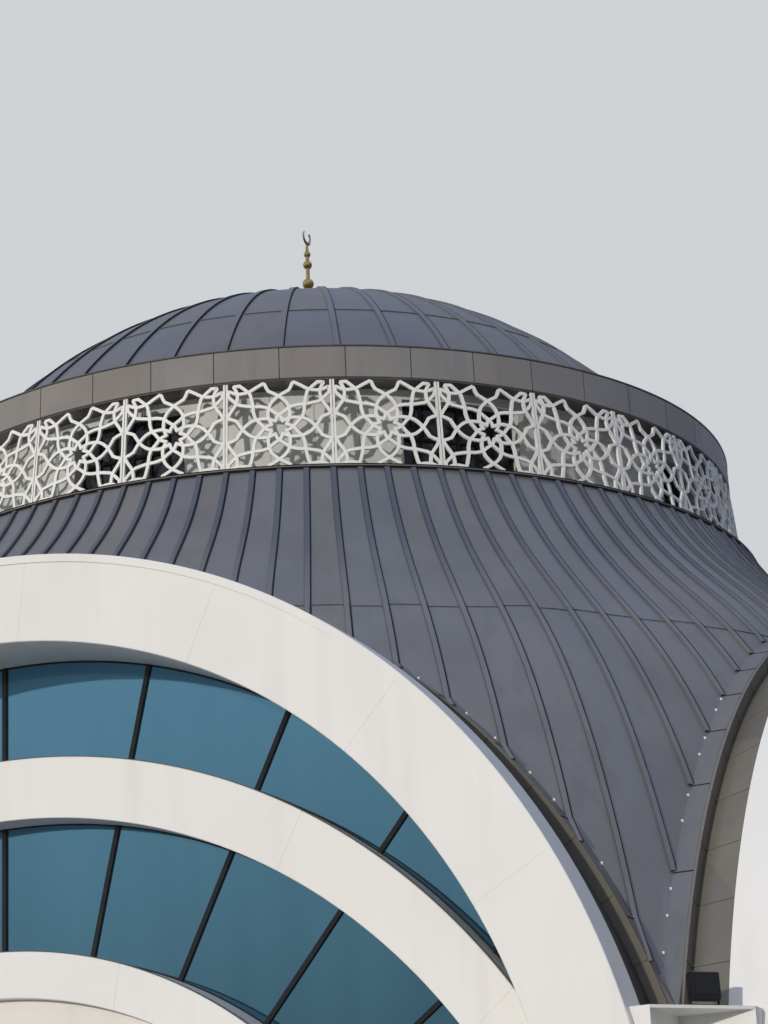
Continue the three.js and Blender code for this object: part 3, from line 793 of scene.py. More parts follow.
class HALL_OT_great_arches(HallOperator, bpy.types.Operator):
    """White arches that close the four sides, with their rims and panel joints"""
    bl_idname = "hall.great_arches"
    bl_label = "Great arches"

    def build(self):
        """Section round the arch by angle: rim, white top, recess under the edge sheet,
        back cut on the diagonal, soffit and face; joints pull the skin in by 5 mm."""
        arch, verge = sizes("arch"), sizes("verge")
        joints = math.degrees(arch.joint_first) + math.degrees(arch.joint_pitch) * np.arange(-5, 5)
        place, sunk = stations(-90, 90, 1.25, joints, 0.04)
        place = with_ends(with_ends(place, 95), LEG)
        sunk = with_ends(with_ends(sunk, 0), 0) * 0.005
        angle = np.radians(np.clip(place, -90, 90))
        cover, fade = 81.5, 5.5  # stations where the edge sheet's cover ends, fading before
        under = np.clip((cover - np.abs(place)) / fade, 0, 1)
        recess, soft, rim = 0.051, 0.014, arch.outer - arch.rim
        low = np.minimum(verge_reach(verge.foot, angle), arch.outer) - recess
        low = under * low + (1 - under) * arch.outer
        diagonal = (arch.back - GAP) / np.maximum(np.abs(np.sin(angle)), 1e-6)
        inner, field = arch.inner + sunk, arch.face - arch.step - sunk
        top = arch.face - arch.top_depth
        radii = columns(arch.outer - soft, arch.outer, arch.outer, arch.outer - recess * under,
                        low, np.minimum(low, diagonal), inner, inner, inner + soft, rim, rim)
        depths = columns(arch.face, arch.face - soft, top, top - 0.001, verge.plane, arch.back,
                         arch.back, field - soft, field, field, arch.face)
        x, _ = arch_curve(radii, arch.centre, place[:, None])
        part = arch_part(place, radii, arch.centre, np.maximum(depths, np.abs(x) + GAP))
        quarter_turns(SIDES, "arch_cladding", [part], "white_cladding", node="great_arch")


class HALL_OT_verges(HallOperator, bpy.types.Operator):
    """Boards and sloping sheets along the roof's edge, with their joints"""
    bl_idname = "hall.verges"
    bl_label = "Roof edge boards"

    def build(self):
        """Section round the great arch's centre: sloping sheet up from the white top,
        upright board with a folded top; the board follows its own lower circle. A dark sheet
        of painted shade lies on the slope right of the crown."""
        arch, verge = sizes("arch"), sizes("verge")
        joints = math.degrees(verge.joint_first) + math.degrees(verge.joint_pitch) * np.arange(14)
        ends, deep = 74, 0.012
        place, sunk = stations(-ends, ends, 0.45, np.concatenate([joints, -joints]), 0.09)
        sunk = sunk * deep
        angle = np.radians(place)
        foot = np.minimum(verge_reach(verge.foot, angle), arch.outer - GAP)
        top = verge_reach(verge.top, angle)
        front = arch.face - arch.top_depth - 0.0013
        back, board = verge.plane - 0.04, verge.plane - sunk
        fold = board + 0.012
        radii = columns(arch.outer - 0.0503, foot - 0.05, top, top, top - 0.03, top - 0.035,
                        foot - sunk, arch.outer - GAP - sunk)
        depths = columns(front, back, back, fold, fold, board, board, front)
        part = arch_part(place, radii, arch.centre, depths)
        quarter_turns(SIDES, "edge_board", [part], "flashing_metal", node="verge_flashing")
        lift = 0.0135  # holds the dark sheet's back row clear of the board's fold
        # the dark sheet is painted shade, only on the flank right of the crown
        flank = place > 6
        back, dip = verge.plane + lift, sunk * 0.15
        foot = foot + (arch.outer - foot) * lift / (front - verge.plane)
        radii = columns(arch.outer + 0.001 - dip, foot + 0.0015 - dip, foot - 0.002,
                        arch.outer - 0.002)
        sheet = arch_part(place[flank], radii[flank], arch.centre, (front, back, back, front))
        quarter_turns(SIDES, "ledge_painted_shade", [sheet], "ledge_shade_metal", "flashing_metal")


class HALL_OT_inner_arches(HallOperator, bpy.types.Operator):
    """Middle and inner arches of each side, with a thin metal trim on their upper edge"""
    bl_idname = "hall.inner_arches"
    bl_label = "Middle and inner arches"

    def section(self, place, outer, inner, centres, face, trimmed=slice(None)):
        """Cladding with softened front edges, and the trim on part of its upper edge."""
        soft, back = 0.012, sizes("glass").face + GAP
        outside, inside = centres
        cladding = arch_part(
            place, columns(outer, outer, inner, inner, inner + soft, outer - soft),
            columns(outside, outside, inside, inside, inside, outside),
            columns(face - soft, back, back, face - soft, face, face))
        over, front, rear = outer + 0.02, face - 0.03, face - 0.075
        trim = arch_part(place[trimmed], columns(outer, outer, over, over)[trimmed], outside,
                         columns(front, rear, rear, front)[trimmed])
        return cladding, trim

    def build(self):
        """Section carried round its own circles; the middle arch is cut off where the
        great arch's opening is nearer than its own circle."""
        band, clear = sizes("band"), sizes("arch").inner - OPENING
        ends, deep = 79.6, 0.006
        joints = 30.7 + 23.4 * np.array([-4, -3, -2, 0, 1, 2])
        place, sunk = stations(-ends, ends, 1.25, joints, 0.05)
        sunk = sunk * deep
        outer, inner = (opening_reach(centre, place, clear) for centre in MIDDLE_CENTRES)
        middle, trim = self.section(
            place, np.minimum(band.middle_outer - sunk, outer),
            np.minimum(band.middle_inner + sunk, inner - 0.004), MIDDLE_CENTRES,
            band.middle_face - sunk, slice(8, -8))
        quarter_turns(SIDES, "middle_cladding", [middle], "white_cladding", node="middle_arch")
        place, sunk = stations(-90, 90, 1.25, 18.8 + 24.0 * np.arange(-4, 4), 0.06)
        place, sunk = with_ends(place, LEG), with_ends(sunk, 0) * deep
        low, low_trim = self.section(place, band.inner_outer - sunk, band.inner_inner + sunk,
                                     INNER_CENTRES, band.inner_face - sunk)
        quarter_turns(SIDES, "inner_cladding", [low], "white_cladding", node="inner_arch")
        quarter_turns(SIDES, "arch_trim", [trim, low_trim], "strip_metal", "flashing_metal")


class HALL_OT_glazing(HallOperator, bpy.types.Operator):
    """Tinted glass between the arches, its radiating bars and edge frames"""
    bl_idname = "hall.glazing"
    bl_label = "Glazing"

    def build(self):
        """Pane from the inner arch's circle out to the opening, then bars and frames."""
        glass, clear = sizes("glass"), sizes("arch").inner - OPENING
        place = with_ends(stations(-90, 90, 1.5)[0], LEG)
        outer = opening_reach(INNER_CENTRES[0], place, clear)
        inner, back = 8.85, glass.face - 0.02  # its edge is hidden behind the inner arch
        pane = arch_part(place, columns(outer, outer, inner, inner), INNER_CENTRES[0],
                         (glass.face, back, back, glass.face))
        quarter_turns(SIDES, "pane", [pane], "tinted_glass", node="glazing")
        near, far = glass.face + GAP, glass.face + glass.bar_depth
        parts = self.bars(clear, near, far) + self.frames(clear, near, far)
        quarter_turns(SIDES, "glazing_bars", parts, "black_metal")

    def bars(self, clear, near, far):
        """Straight bars on rays from a hub low on the axis, from one arch's edge to the
        next one's; a bar shorter than the least length is left out."""
        glass, band = sizes("glass"), sizes("band")
        hub, least, flattest, made = glass.hub, 0.2, math.radians(86), []
        for k in range(-6, 7):
            ray = glass.first + k * glass.pitch
            if abs(ray) > flattest:
                continue
            edge = opening_reach(hub, np.array([math.degrees(ray)]), clear)[0]
            low = reach_to(band.inner_outer, INNER_CENTRES[0], hub, ray)
            under = reach_to(band.middle_inner, MIDDLE_CENTRES[1], hub, ray)
            over = reach_to(band.middle_outer, MIDDLE_CENTRES[0], hub, ray)
            way = np.array([math.sin(ray), math.cos(ray)])
            wide = way[::-1] * (glass.bar / 2, -glass.bar / 2)
            for start, end in ((low, min(under, edge)), (over, edge)):
                if end - start > least:
                    start, end = way * start + (0, hub), way * end + (0, hub)
                    outline = [start - wide, start + wide, end + wide, end - wide]
                    made.append(prism(outline, far, near))
        return made

    def frames(self, clear, near, far):
        """Frames along the arches' edges, and level ones at the foot and at the hub."""
        band, wide, made = sizes("band"), 0.03, []
        for centre, inside, outside, stop in (
                (sizes("arch").centre, clear - 0.035, clear, LEG),
                (MIDDLE_CENTRES[0], band.middle_outer, band.middle_outer + wide, 58),
                (MIDDLE_CENTRES[1], band.middle_inner - wide, band.middle_inner, 76),
                (INNER_CENTRES[0], band.inner_outer, band.inner_outer + wide, LEG)):
            place, _ = stations(-min(stop, 90), min(stop, 90), 1.5)
            if stop == LEG:
                place = with_ends(place, LEG)
            made.append(arch_part(place, columns(inside, inside, outside, outside), centre,
                                  (far - 0.03, near, near, far - 0.03)))
        for side in (-1, 1):
            left, right = sorted((side * (band.inner_outer + 0.001), side * (clear - 0.001)))
            for z in (0.13, sizes("glass").hub):
                made.append(block((left, 0.01 - far, z), (right, -near, z + 0.07)))
        return made


class HALL_OT_walls(HallOperator, bpy.types.Operator):
    """Rendered wall under the inner arch, the doorway's surround, and the corner piers"""
    bl_idname = "hall.walls"
    bl_label = "Walls and piers"

    def build(self):
        """Flat wall inside the inner arch's circle; the front one is notched by the
        doorway, which has a plain metal surround."""
        band = sizes("band")
        place = with_ends(np.linspace(-90, 90, 97), LEG)
        arch_line = columns(*arch_curve(band.inner_inner - GAP, INNER_CENTRES[1], place))
        half, head = band.door_width / 2, band.door_height
        notch = [(half, 0), (half, head), (-half, head), (-half, 0)]
        for k, side in enumerate(SIDES):
            outline = np.concatenate([arch_line, notch]) if side == "front" else arch_line
            wall = moved(prism(outline, WALL_FACE, WALL_BACK), k * QUARTER)
            piece(side + "_rendered_wall", [wall], "cream_render",
                  stands_for=(side + "_infill_wall",))
        wide, front, back = 0.09, WALL_FACE + 0.04, WALL_BACK - 0.02
        clear = half - wide
        surround = [block((left, -front, foot), (right, -back, head))
                    for left, right, foot in ((-half, -clear, 0.0), (clear, half, 0.0),
                                              (-clear, clear, head - wide))]
        piece("front_door_surround", surround, "black_metal")
        for corner in CORNERS:
            dress_node(corner + "_pier", "white_cladding")


class HALL_OT_roof(HallOperator, bpy.types.Operator):
    """Curved roof: sheets, battens, cross seams, edge strip and its clips"""
    bl_idname = "hall.roof"
    bl_label = "Roof"

    def build(self):
        self.sheets()
        self.battens()
        self.cross_seams()
        self.edges()
        self.clips()

    def underside(self, turn, inset):
        """Reach and height of the roof's edge, or the line an inset behind it, and the
        height of the lower skin there: the board's foot, 6 cm below the top or more."""
        reach, top, side = roof_edge(turn, inset)
        least = 0.06
        foot = verge_height(sizes("verge").foot, (ROOF_EDGE - inset) * np.tan(side))
        return reach, top, np.minimum(np.maximum(foot, CORNER_HEIGHT - least), top - least)

    def sheets(self):
        """Upper skin on the roof surface, lower skin a thickness below that swells in the
        middle, and a lip that lies on the ring beam."""
        roof = sizes("roof")
        cut, ring_thick, swell = 4e-5, 0.3, 1.0  # the cut keeps corners off each other
        turn = np.clip(np.linspace(0, QUARTER, 121), cut, QUARTER - cut)[:, None]
        along = np.linspace(0, 1, 41)[None, :]
        upper = roof_point(turn, along)
        _, top, foot = self.underside(turn, roof.strip)
        thick = ((1 - along) * ring_thick + along * (top - foot)
                 + swell * along * (1 - along))
        lower = upper - thick[..., None] * (0, 0, 1)
        reach, top, foot = self.underside(turn, 0.0)
        seat, lip_radius, lip_high = roof.height - 0.0197, 9.9, 0.06
        lip, rest, inside = (around(radius, turn, height) for radius, height in (
            (lip_radius, seat + lip_high), (lip_radius + 0.08, seat), (lip_radius, seat)))
        outline = np.concatenate([lip, upper, around(reach, turn, top),
                                  around(reach, turn, foot), lower[:, ::-1], rest, inside],
                                 axis=1)
        quarter_turns(CORNERS, "roof_sheets", [swept(outline)], "roof_metal", node="roof",
                      sharp=40.0)

    def turns(self, corner):
        """Directions of one corner's battens, even steps but for the two cross sides' lag,
        and which of them run on over the edge strip."""
        roof = sizes("roof")
        each = roof.battens // 4
        turn = (corner * each + np.arange(1, each + 1)) * TURN / roof.battens
        quarter = (turn + QUARTER / 2) / QUARTER
        tie = 0.006  # share of a quarter turn, for the battens right on a diagonal
        cross, over = (np.floor(quarter + shift).astype(int) % 2 for shift in (tie, -tie))
        return turn + roof.batten_first - roof.batten_lag * cross, over == 0

    def along_slope(self, turn, outline, start, end=SLOPE_END, rows=28, over=False):
        """Outline of (right, outward) points carried down the roof between two shares of
        the way from the ring to the edge strip, and over the strip where asked."""
        along = np.linspace(start, end, rows)
        here, _, sideways, out = roof_frame(np.full(rows, turn), along)
        if over:
            reach, height, _ = roof_edge(np.array([turn]))
            here = np.concatenate([here, around(reach - 0.012, turn, height)])
            sideways = np.concatenate([sideways, sideways[-1:]])
            out = np.concatenate([out, out[-1:]])
        return swept_lines([here + sideways * x + out * h for x, h in outline])

    def shade_bead(self, x, height, wide):
        """Outline of a black bead of painted shade that starts at x and reaches to the right."""
        return [(x, height - 0.006), (x, height + 0.006), (x + wide, height + 0.004),
                (x + wide, height - 0.006)]

    def battens(self):
        """Flat-topped battens. A black bead of painted shade follows each one's right foot, and
        a second one the right edge of its top, thin above the cross seam."""
        roof = sizes("roof")
        top, foot, rise = roof.batten_top / 2, roof.batten_foot / 2, roof.batten_rise
        outline = [(-foot, -0.01), (-foot, 0.0), (-top, rise), (top, rise), (foot, 0.0),
                   (foot, -0.01)]
        first = 0.03  # distance of a batten's upper end from the ring
        # the beads are painted shade on each batten's right side
        foot_shade_bead = self.shade_bead(foot - 0.002, 0.004, roof.shade_bead)
        top_shade_bead = self.shade_bead(top - 0.01, rise, roof.shade_bead)
        thin_shade_bead = self.shade_bead(top - 0.004, rise, roof.shade_bead * 0.35)
        for corner, name in enumerate(CORNERS):
            made, shade_beads = [], []
            for turn, over in zip(*self.turns(corner)):
                start = first / (roof_edge(turn, roof.strip)[0] - roof.ring)
                lap = float(roof_along_at_height([turn], roof.lap)[0])
                made.append(self.along_slope(turn, outline, start, over=over))
                shade_beads.append(self.along_slope(turn, foot_shade_bead, start, over=over))
                if lap < 0.97:
                    shade_beads.append(self.along_slope(turn, top_shade_bead, lap, rows=16, over=over))
                end = min(lap, SLOPE_END)
                shade_beads.append(self.along_slope(turn, thin_shade_bead, start, end, 12))
            piece(name + "_roof_battens", made, "batten_metal", "roof_metal")
            piece(name + "_batten_shade_beads", shade_beads, "sealant", "roof_metal")

    def cross_seams(self):
        """A folded seam across each sheet where the roof passes one height, each a little
        higher or lower than the next."""
        roof = sizes("roof")
        each, pitch = roof.battens // 4, TURN / roof.battens
        shift = np.sin(np.arange(each) * 2.4) * 0.03
        made = []
        for k in range(each):
            turn = roof.batten_first + (k + np.linspace(0.03, 0.97, 4)) * pitch
            here, down, _, out = roof_frame(turn, roof_along_at_height(turn, roof.lap + shift[k]))
            made.append(swept_lines([here + down * d + out * h for d, h in (
                (-0.02, -0.008), (-0.02, 0.010), (0.022, 0.014), (0.022, -0.008))]))
        quarter_turns(CORNERS, "roof_cross_seams", made, "batten_metal", "roof_metal")

    def edge_strip(self, turns):
        """Flashing of half a side and the seals in its joints, one where each batten ends:
        sideways x, height of the circle at x, from the strip's inner line, or the diagonal
        near the corner, out to the board."""
        roof, verge = sizes("roof"), sizes("verge")
        line = ROOF_EDGE - roof.strip
        marks = line * np.tan(np.abs(turns))
        place, sunk = stations(0.002, 12.70, 0.25, np.sort(marks), 0.024)
        level = np.maximum(verge_height(verge.top, place), CORNER_HEIGHT)
        lift = np.where(sunk > 0, 0.002, 0.010)
        inner = np.maximum(line - 0.01, place + 0.003)
        outer = np.maximum(ROOF_EDGE - 0.004, place + 0.006)
        under = -0.01
        strip = swept_lines([columns(place, -depth, level + rise) for depth, rise in (
            (inner, lift), (outer, lift), (outer, under), (inner, under))])
        half, thick, seals = 0.009, 0.014, []
        for mark in marks:
            level = max(verge_height(verge.top, mark), CORNER_HEIGHT)
            seals.append(swept(np.array([
                [(mark + x, -depth, level + rise) for x, rise in (
                    (-half, 0.0), (-half, thick), (half, thick), (half, 0.0))]
                for depth in (max(line - 0.02, mark + 0.02), ROOF_EDGE - 0.006)])))
        return strip, seals

    def edges(self):
        """The front half of a corner's flashing, and the other half across the diagonal."""
        turns, _ = self.turns(0)
        half = len(turns) // 2
        front, front_seals = self.edge_strip(turns[:half])
        right, right_seals = self.edge_strip(turns[half:] - QUARTER)
        quarter_turns(CORNERS, "edge_strip", [front, mirrored(right)], "roof_metal",
                      "flashing_metal")
        seals = front_seals + [mirrored(seal) for seal in right_seals]
        quarter_turns(CORNERS, "edge_seals", seals, "sealant", "flashing_metal")

    def clips(self):
        """Small tapered white clips on the strip's inner line, at these directions in degrees;
        some far ones near the corner also stand in for a painted glint.
        """
        wide, deep, peak, taper = 0.02, 0.03, 0.06, 0.4
        near = (33.8, 36.5, 38.0, 39.7, 40.8, 42.8)
        # some far clips near the corner also stand in for a painted glint
        far = (45.3, 46.0, 46.6, 48.6, 49.6, 51.6, 52.6, 54.7, 55.7)
        made = []
        for place in near + far:
            here, down, sideways, out = (v[0] for v in roof_frame(
                np.array([math.radians(place)]), np.array([SLOPE_END])))
            base = [here + sideways * x + down * d + out * 0.004 for x, d in (
                (-wide, -deep), (wide, -deep), (wide, deep), (-wide, deep))]
            crown = [p * (1 - taper) + (here + out * peak) * taper for p in base]
            made.append(swept(np.array([base, crown])))
        quarter_turns(CORNERS, "edge_clips_and_glint", made, "screen_white", "flashing_metal")


class HALL_OT_drum(HallOperator, bpy.types.Operator):
    """Drum wall with its windows, window bars, the sill under the screen and the band"""
    bl_idname = "hall.drum"
    bl_label = "Drum"

    def build(self):
        self.wall()
        self.windows()
        self.sill()
        self.fascia()
        dress_node("drum_glass", "drum_window_glass")
        dress_node("ring_beam", "drum_panel")

    def curved(self, low, high, foot, head, skins, joints=()):
        """Rectangle section turned through part of a ring between two directions in
        degrees, with upright joints; skins are its inside and outside radius."""
        inside, outside = skins
        place, sunk = stations(low, high, 1.0, joints, 0.12)
        joint_depth = 0.02
        face = outside - sunk * joint_depth
        turn = np.radians(place)[:, None]
        return swept(around(columns(inside, face, face, inside), turn,
                            columns(foot, foot, head, head)[None, :]))

    def bays(self):
        """Left and right edge of each window, in degrees."""
        drum = sizes("drum")
        width = math.degrees(drum.width)
        lefts = [math.degrees(drum.first) + k * 360 / drum.windows - width / 2
                 for k in range(drum.windows)]
        return [(left, left + width) for left in lefts]

    def wall(self):
        """Piers between windows, and the wall below and above each window."""
        drum = sizes("drum")
        skins = (drum.wall_inner, drum.wall)
        made = []
        for left, right in self.bays():
            end = left + 360 / drum.windows
            joints = right + (end - right) * np.arange(1, 5) / 5
            made += [self.curved(right, end, drum.foot, drum.head, skins, joints),
                     self.curved(left, right, drum.foot, drum.sill, skins),
                     self.curved(left, right, drum.top, drum.head, skins)]
        piece("drum_panels", made, "drum_panel", stands_for=("drum_wall",))

    def windows(self):
        """Seven upright bars in each window, and a bar at its foot, middle and head."""
        drum = sizes("drum")
        bar, high, made = 0.35, 0.06, []
        upright, level = (8.602, 8.64), (8.601, 8.635)
        for left, right in self.bays():
            for place in left + (right - left - bar) * np.arange(7) / 6:
                made.append(self.curved(place, place + bar, drum.sill, drum.top, upright))
            for low in (drum.sill, drum.sill + 0.78, drum.top - high):
                made.append(self.curved(left, right, low, low + high, level))
        piece("drum_window_bars", made, "sealant", "black_metal")

    def sill(self):
        """Turned profiles over the ring: the cap sheet with its thin bright lip, a black
        seal on it, the black closure behind the battens' upper ends as painted shadow, and the
        seat."""
        roof = sizes("roof")
        top, edge, back = roof.height + 0.045, roof.ring + 0.05, 9.84
        lip = [(back, top - 0.022), (edge, top - 0.022), (edge, top - 0.045),
               (edge - 0.008, top - 0.045), (edge - 0.008, top - 0.03), (back, top - 0.03)]
        seal = [(9.7, top - 0.0215), (edge + 0.001, top - 0.0215), (edge + 0.001, top),
                (9.7, top + 0.004)]
        # the closure is painted shadow in the gap under the cap sheet
        shadow_closure = [(edge - 0.03, roof.height - 0.08), (edge - 0.02, roof.height - 0.08),
                   (edge - 0.018, top - 0.031), (edge - 0.03, top - 0.031)]
        seat = [(9.55, top - 0.01), (9.69, top - 0.01), (9.69, top + 0.02), (9.55, top + 0.02)]
        piece("ring_flashing", [lathed(lip, 240)], "flashing_metal")
        piece("ring_seals_and_shadow", [lathed(outline, 240) for outline in (seal, shadow_closure, seat)],
              "sealant", "black_metal")

    def fascia(self):
        """Cassettes with open joints in front of a backing ring, a dark coping on top and
        a dark soffit."""
        drum = sizes("drum")
        pitch, joint, soft = 360 / drum.cassettes, 0.1, 0.012
        low, high = drum.head + 0.0303, drum.fascia_head - 0.03
        inside, foot, top = 9.34, drum.fascia_foot, drum.fascia_top
        rear = inside + 0.06
        radii = columns(rear, foot - soft, foot, top, top - soft, rear)
        heights = columns(low, low, low + soft, high - soft, high, high)
        made = []
        for k in range(drum.cassettes):
            start = math.degrees(drum.cassette_first) + pitch * k + joint / 2
            turn = np.radians(np.linspace(start, start + pitch - joint, 7))[:, None]
            made.append(swept(around(radii, turn, heights[None, :])))
        piece("fascia_cassettes", made, "fascia_metal")
        head, foot, rear, edge = drum.head + GAP, 8.5, rear - 0.001, 9.47
        backing = [(foot, head), (edge, head), (edge, low - 0.004), (rear, low - 0.004),
                   (rear, high), (edge, high), (edge + 0.017, high + 0.006),
                   (edge + 0.017, drum.fascia_head), (inside, drum.fascia_head),
                   (inside, head + 0.1), (foot, head + 0.1)]
        piece("fascia_backing", [lathed(backing, 180)], "strip_metal", "fascia_metal",
              ("fascia_ring",))


# one ribbon of the screen's pattern in each list, in metres from the panel's middle
RIBBONS = (
    ((0, .695), (-.085, .62), (-.155, .53), (-.192, .43), (-.205, .33), (-.205, .235),
     (-.175, .145), (-.138, .068)),
    ((-.97, .75), (-.80, .57), (-.69, .53), (-.50, .492), (-.365, .485), (-.245, .455),
     (-.192, .43), (-.115, .36), (0, .273), (.045, .205), (.068, .14)),
    ((0, .695), (-.10, .757), (-.193, .81)),
    ((-.193, .81), (-.235, .885), (-.265, .965), (-.305, .982)),
    ((-.305, .982), (-.43, .91), (-.565, .825), (-.70, .795), (-.82, .80), (-.92, .85),
     (-.965, .855), (-.97, .75)),
)
STRETCH = 1.055  # panels are this much wider than the square the pattern fills
HALF_PANEL = 1.0845  # half a panel's pitch in the metres that the ribbons are drawn in
SIDE_BAR = 1.056  # the panel's side bars stand this far from its middle
TAPER_FOOT = 20.4  # height at which the screen has its foot radius


class HALL_OT_screen(HallOperator, bpy.types.Operator):
    """Openwork screen round the drum: star pattern of ribbons in each panel"""
    bl_idname = "hall.screen"
    bl_label = "Openwork screen"

    def ribbon(self, path, lift):
        """Rectangle section along a smoothed path in the panel's plane, mitred at bends."""
        screen = sizes("screen")
        path = np.asarray(path, float)
        ends = np.concatenate([[2 * path[0] - path[1]], path, [2 * path[-1] - path[-2]]])
        a, b, c, d = ends[:-3], ends[1:-2], ends[2:-1], ends[3:]
        smooth = np.empty((2 * len(path) - 1, 2))
        smooth[0::2], smooth[1::2] = path, (9 * (b + c) - a - d) / 16
        smooth[:, 0] *= STRETCH
        step = unit(np.diff(smooth, axis=0))
        smooth[0] -= step[0] * screen.ribbon * 0.3
        smooth[-1] += step[-1] * screen.ribbon * 0.3
        before = np.concatenate([step[:1], step])
        along = unit(before + np.concatenate([step, step[-1:]]))
        lean = np.maximum(np.einsum("ij,ij->i", along, before), 0.5)
        wide = np.stack([-along[:, 1], along[:, 0]], -1) / lean[:, None]
        wide *= screen.ribbon / 2
        front, back = screen.depth / 2 + lift, -screen.depth / 2 + lift
        return swept_lines([np.column_stack([smooth + wide * s, np.full(len(smooth), h)])
                            for s, h in ((1, front), (1, back), (-1, back), (-1, front))])

    def panel(self):
        """Each ribbon in the eight images of the square, each image a little in front of
        the one before so that crossings don't lie in one plane, then a bar at each side."""
        screen = sizes("screen")
        parts, lift = [], 0.0
        for path in RIBBONS:
            for swap in (False, True):
                for mirror_x in (1, -1):
                    for mirror_y in (1, -1):
                        points = np.array(path) * (mirror_x, mirror_y)
                        if swap:
                            points = points[:, ::-1]
                        parts.append(self.ribbon(points, lift))
                        lift = (lift + 0.0013) % 0.0100
        low, high = SCREEN_FOOT - screen.middle, SCREEN_HEAD - screen.middle
        half = 0.02
        for x in (-SIDE_BAR, SIDE_BAR):
            parts.append(swept(np.array([
                [(x - half, low, depth), (x + half, low, depth), (x + half, high, depth),
                 (x - half, high, depth)] for depth in (0.03, -0.03)])))
        return joined(parts)

    def build(self):
        """Panel points bent round the drum: sideways distance becomes angle, and the
        radius drops with height."""
        screen = sizes("screen")
        points, tables = self.panel()
        height = screen.middle + points[:, 1]
        radius = screen.radius - (height - TAPER_FOOT) * screen.taper + points[:, 2]
        pitch = TURN / screen.panels
        sideways = points[:, 0] / HALF_PANEL * pitch / 2
        each = screen.panels // 4
        made = [(around(radius, screen.first + (k + 0.5) * pitch + sideways, height), tables)
                for k in range(screen.panels)]
        for k, corner in enumerate(CORNERS):
            piece(corner + "_lattice", made[k * each:(k + 1) * each], "screen_white",
                  stands_for=(corner + "_screen",))


class HALL_OT_dome(HallOperator, bpy.types.Operator):
    """Dome shell, its batten seams and the seam across them"""
    bl_idname = "hall.dome"
    bl_label = "Dome"

    def arc(self, radius, start, end, points):
        """Circle about the sphere's centre between two heights, None for its top."""
        centre = sizes("dome").centre
        reach = [0.0 if z is None else math.acos((z - centre) / radius) for z in (start, end)]
        angle = np.linspace(*reach, points)
        return columns(radius * np.sin(angle), centre + radius * np.cos(angle))

    def strips(self, line, section):
        """Every seam's strip down the sphere: each section point is a share of the half
        width, a shift to the right, and a rise off the sheet. Narrower near the top."""
        dome = sizes("dome")
        radial = unit(line - (0, dome.centre))
        narrowing = 0.048  # most half width, as a share of the distance from the axis
        half = np.minimum(dome.seam_width / 2, line[:, 0] * narrowing)[:, None]
        made = []
        for k in range(dome.seams):
            turn = dome.seam_first + k * TURN / dome.seams
            right = np.array([math.cos(turn), math.sin(turn), 0])
            lines = []
            for share_of_half, shift, rise in section:
                path = line + radial * rise
                lines.append(around(path[:, 0], turn, path[:, 1])
                             + right * (half * share_of_half + shift))
            made.append(swept_lines(lines))
        return made

    def build(self):
        """Shell: two arcs about the sphere's centre turned round the axis. A batten follows
        the sphere down a meridian, with a black bead of painted shade along its right edge; the
        cross seam is a thin ring, and a collar closes the top."""
        dome = sizes("dome")
        outline = np.concatenate([self.arc(dome.radius, None, dome.foot, 40),
                                  self.arc(dome.radius - dome.thick, dome.foot, None, 30)])
        piece("dome_sheets", [lathed(outline, 208)], "dome_metal", stands_for=("dome_shell",))
        seams_start = dome.centre + dome.radius - 0.075  # under the collar
        line = self.arc(dome.radius, seams_start, dome.foot + 0.01, 44)
        top = dome.seam_rise
        seam = ((-1, -0.012, -0.01), (-1, 0, top), (1, 0, top), (1, 0.006, -0.01))
        # the bead is painted shade beside the seam's right edge
        shade_bead = ((1, 0.0065, -0.008), (1, -0.006, top + 0.004), (1, 0.006, top + 0.002),
                (1, 0.02, -0.008))
        piece("dome_seams", self.strips(line, seam), "dome_metal")
        piece("dome_shade_beads", self.strips(line, shade_bead), "sealant", "dome_metal")
        ring = self.arc(dome.radius, dome.lap + 0.012, dome.lap - 0.012, 2)
        out = unit(ring - (0, dome.centre))
        profile = [ring[0] - out[0] * 0.01, ring[0] + out[0] * 0.012,
                   ring[1] + out[1] * 0.016, ring[1] - out[1] * 0.01]
        collar = [(0.02, 27.51), (0.30, 27.505), (0.32, 27.52), (0.30, 27.54), (0.19, 27.58),
                  (0.19, 27.62), (0.02, 27.62)]
        piece("dome_cross_seam", [lathed(profile, 208), lathed(collar, 64)], "dome_metal")


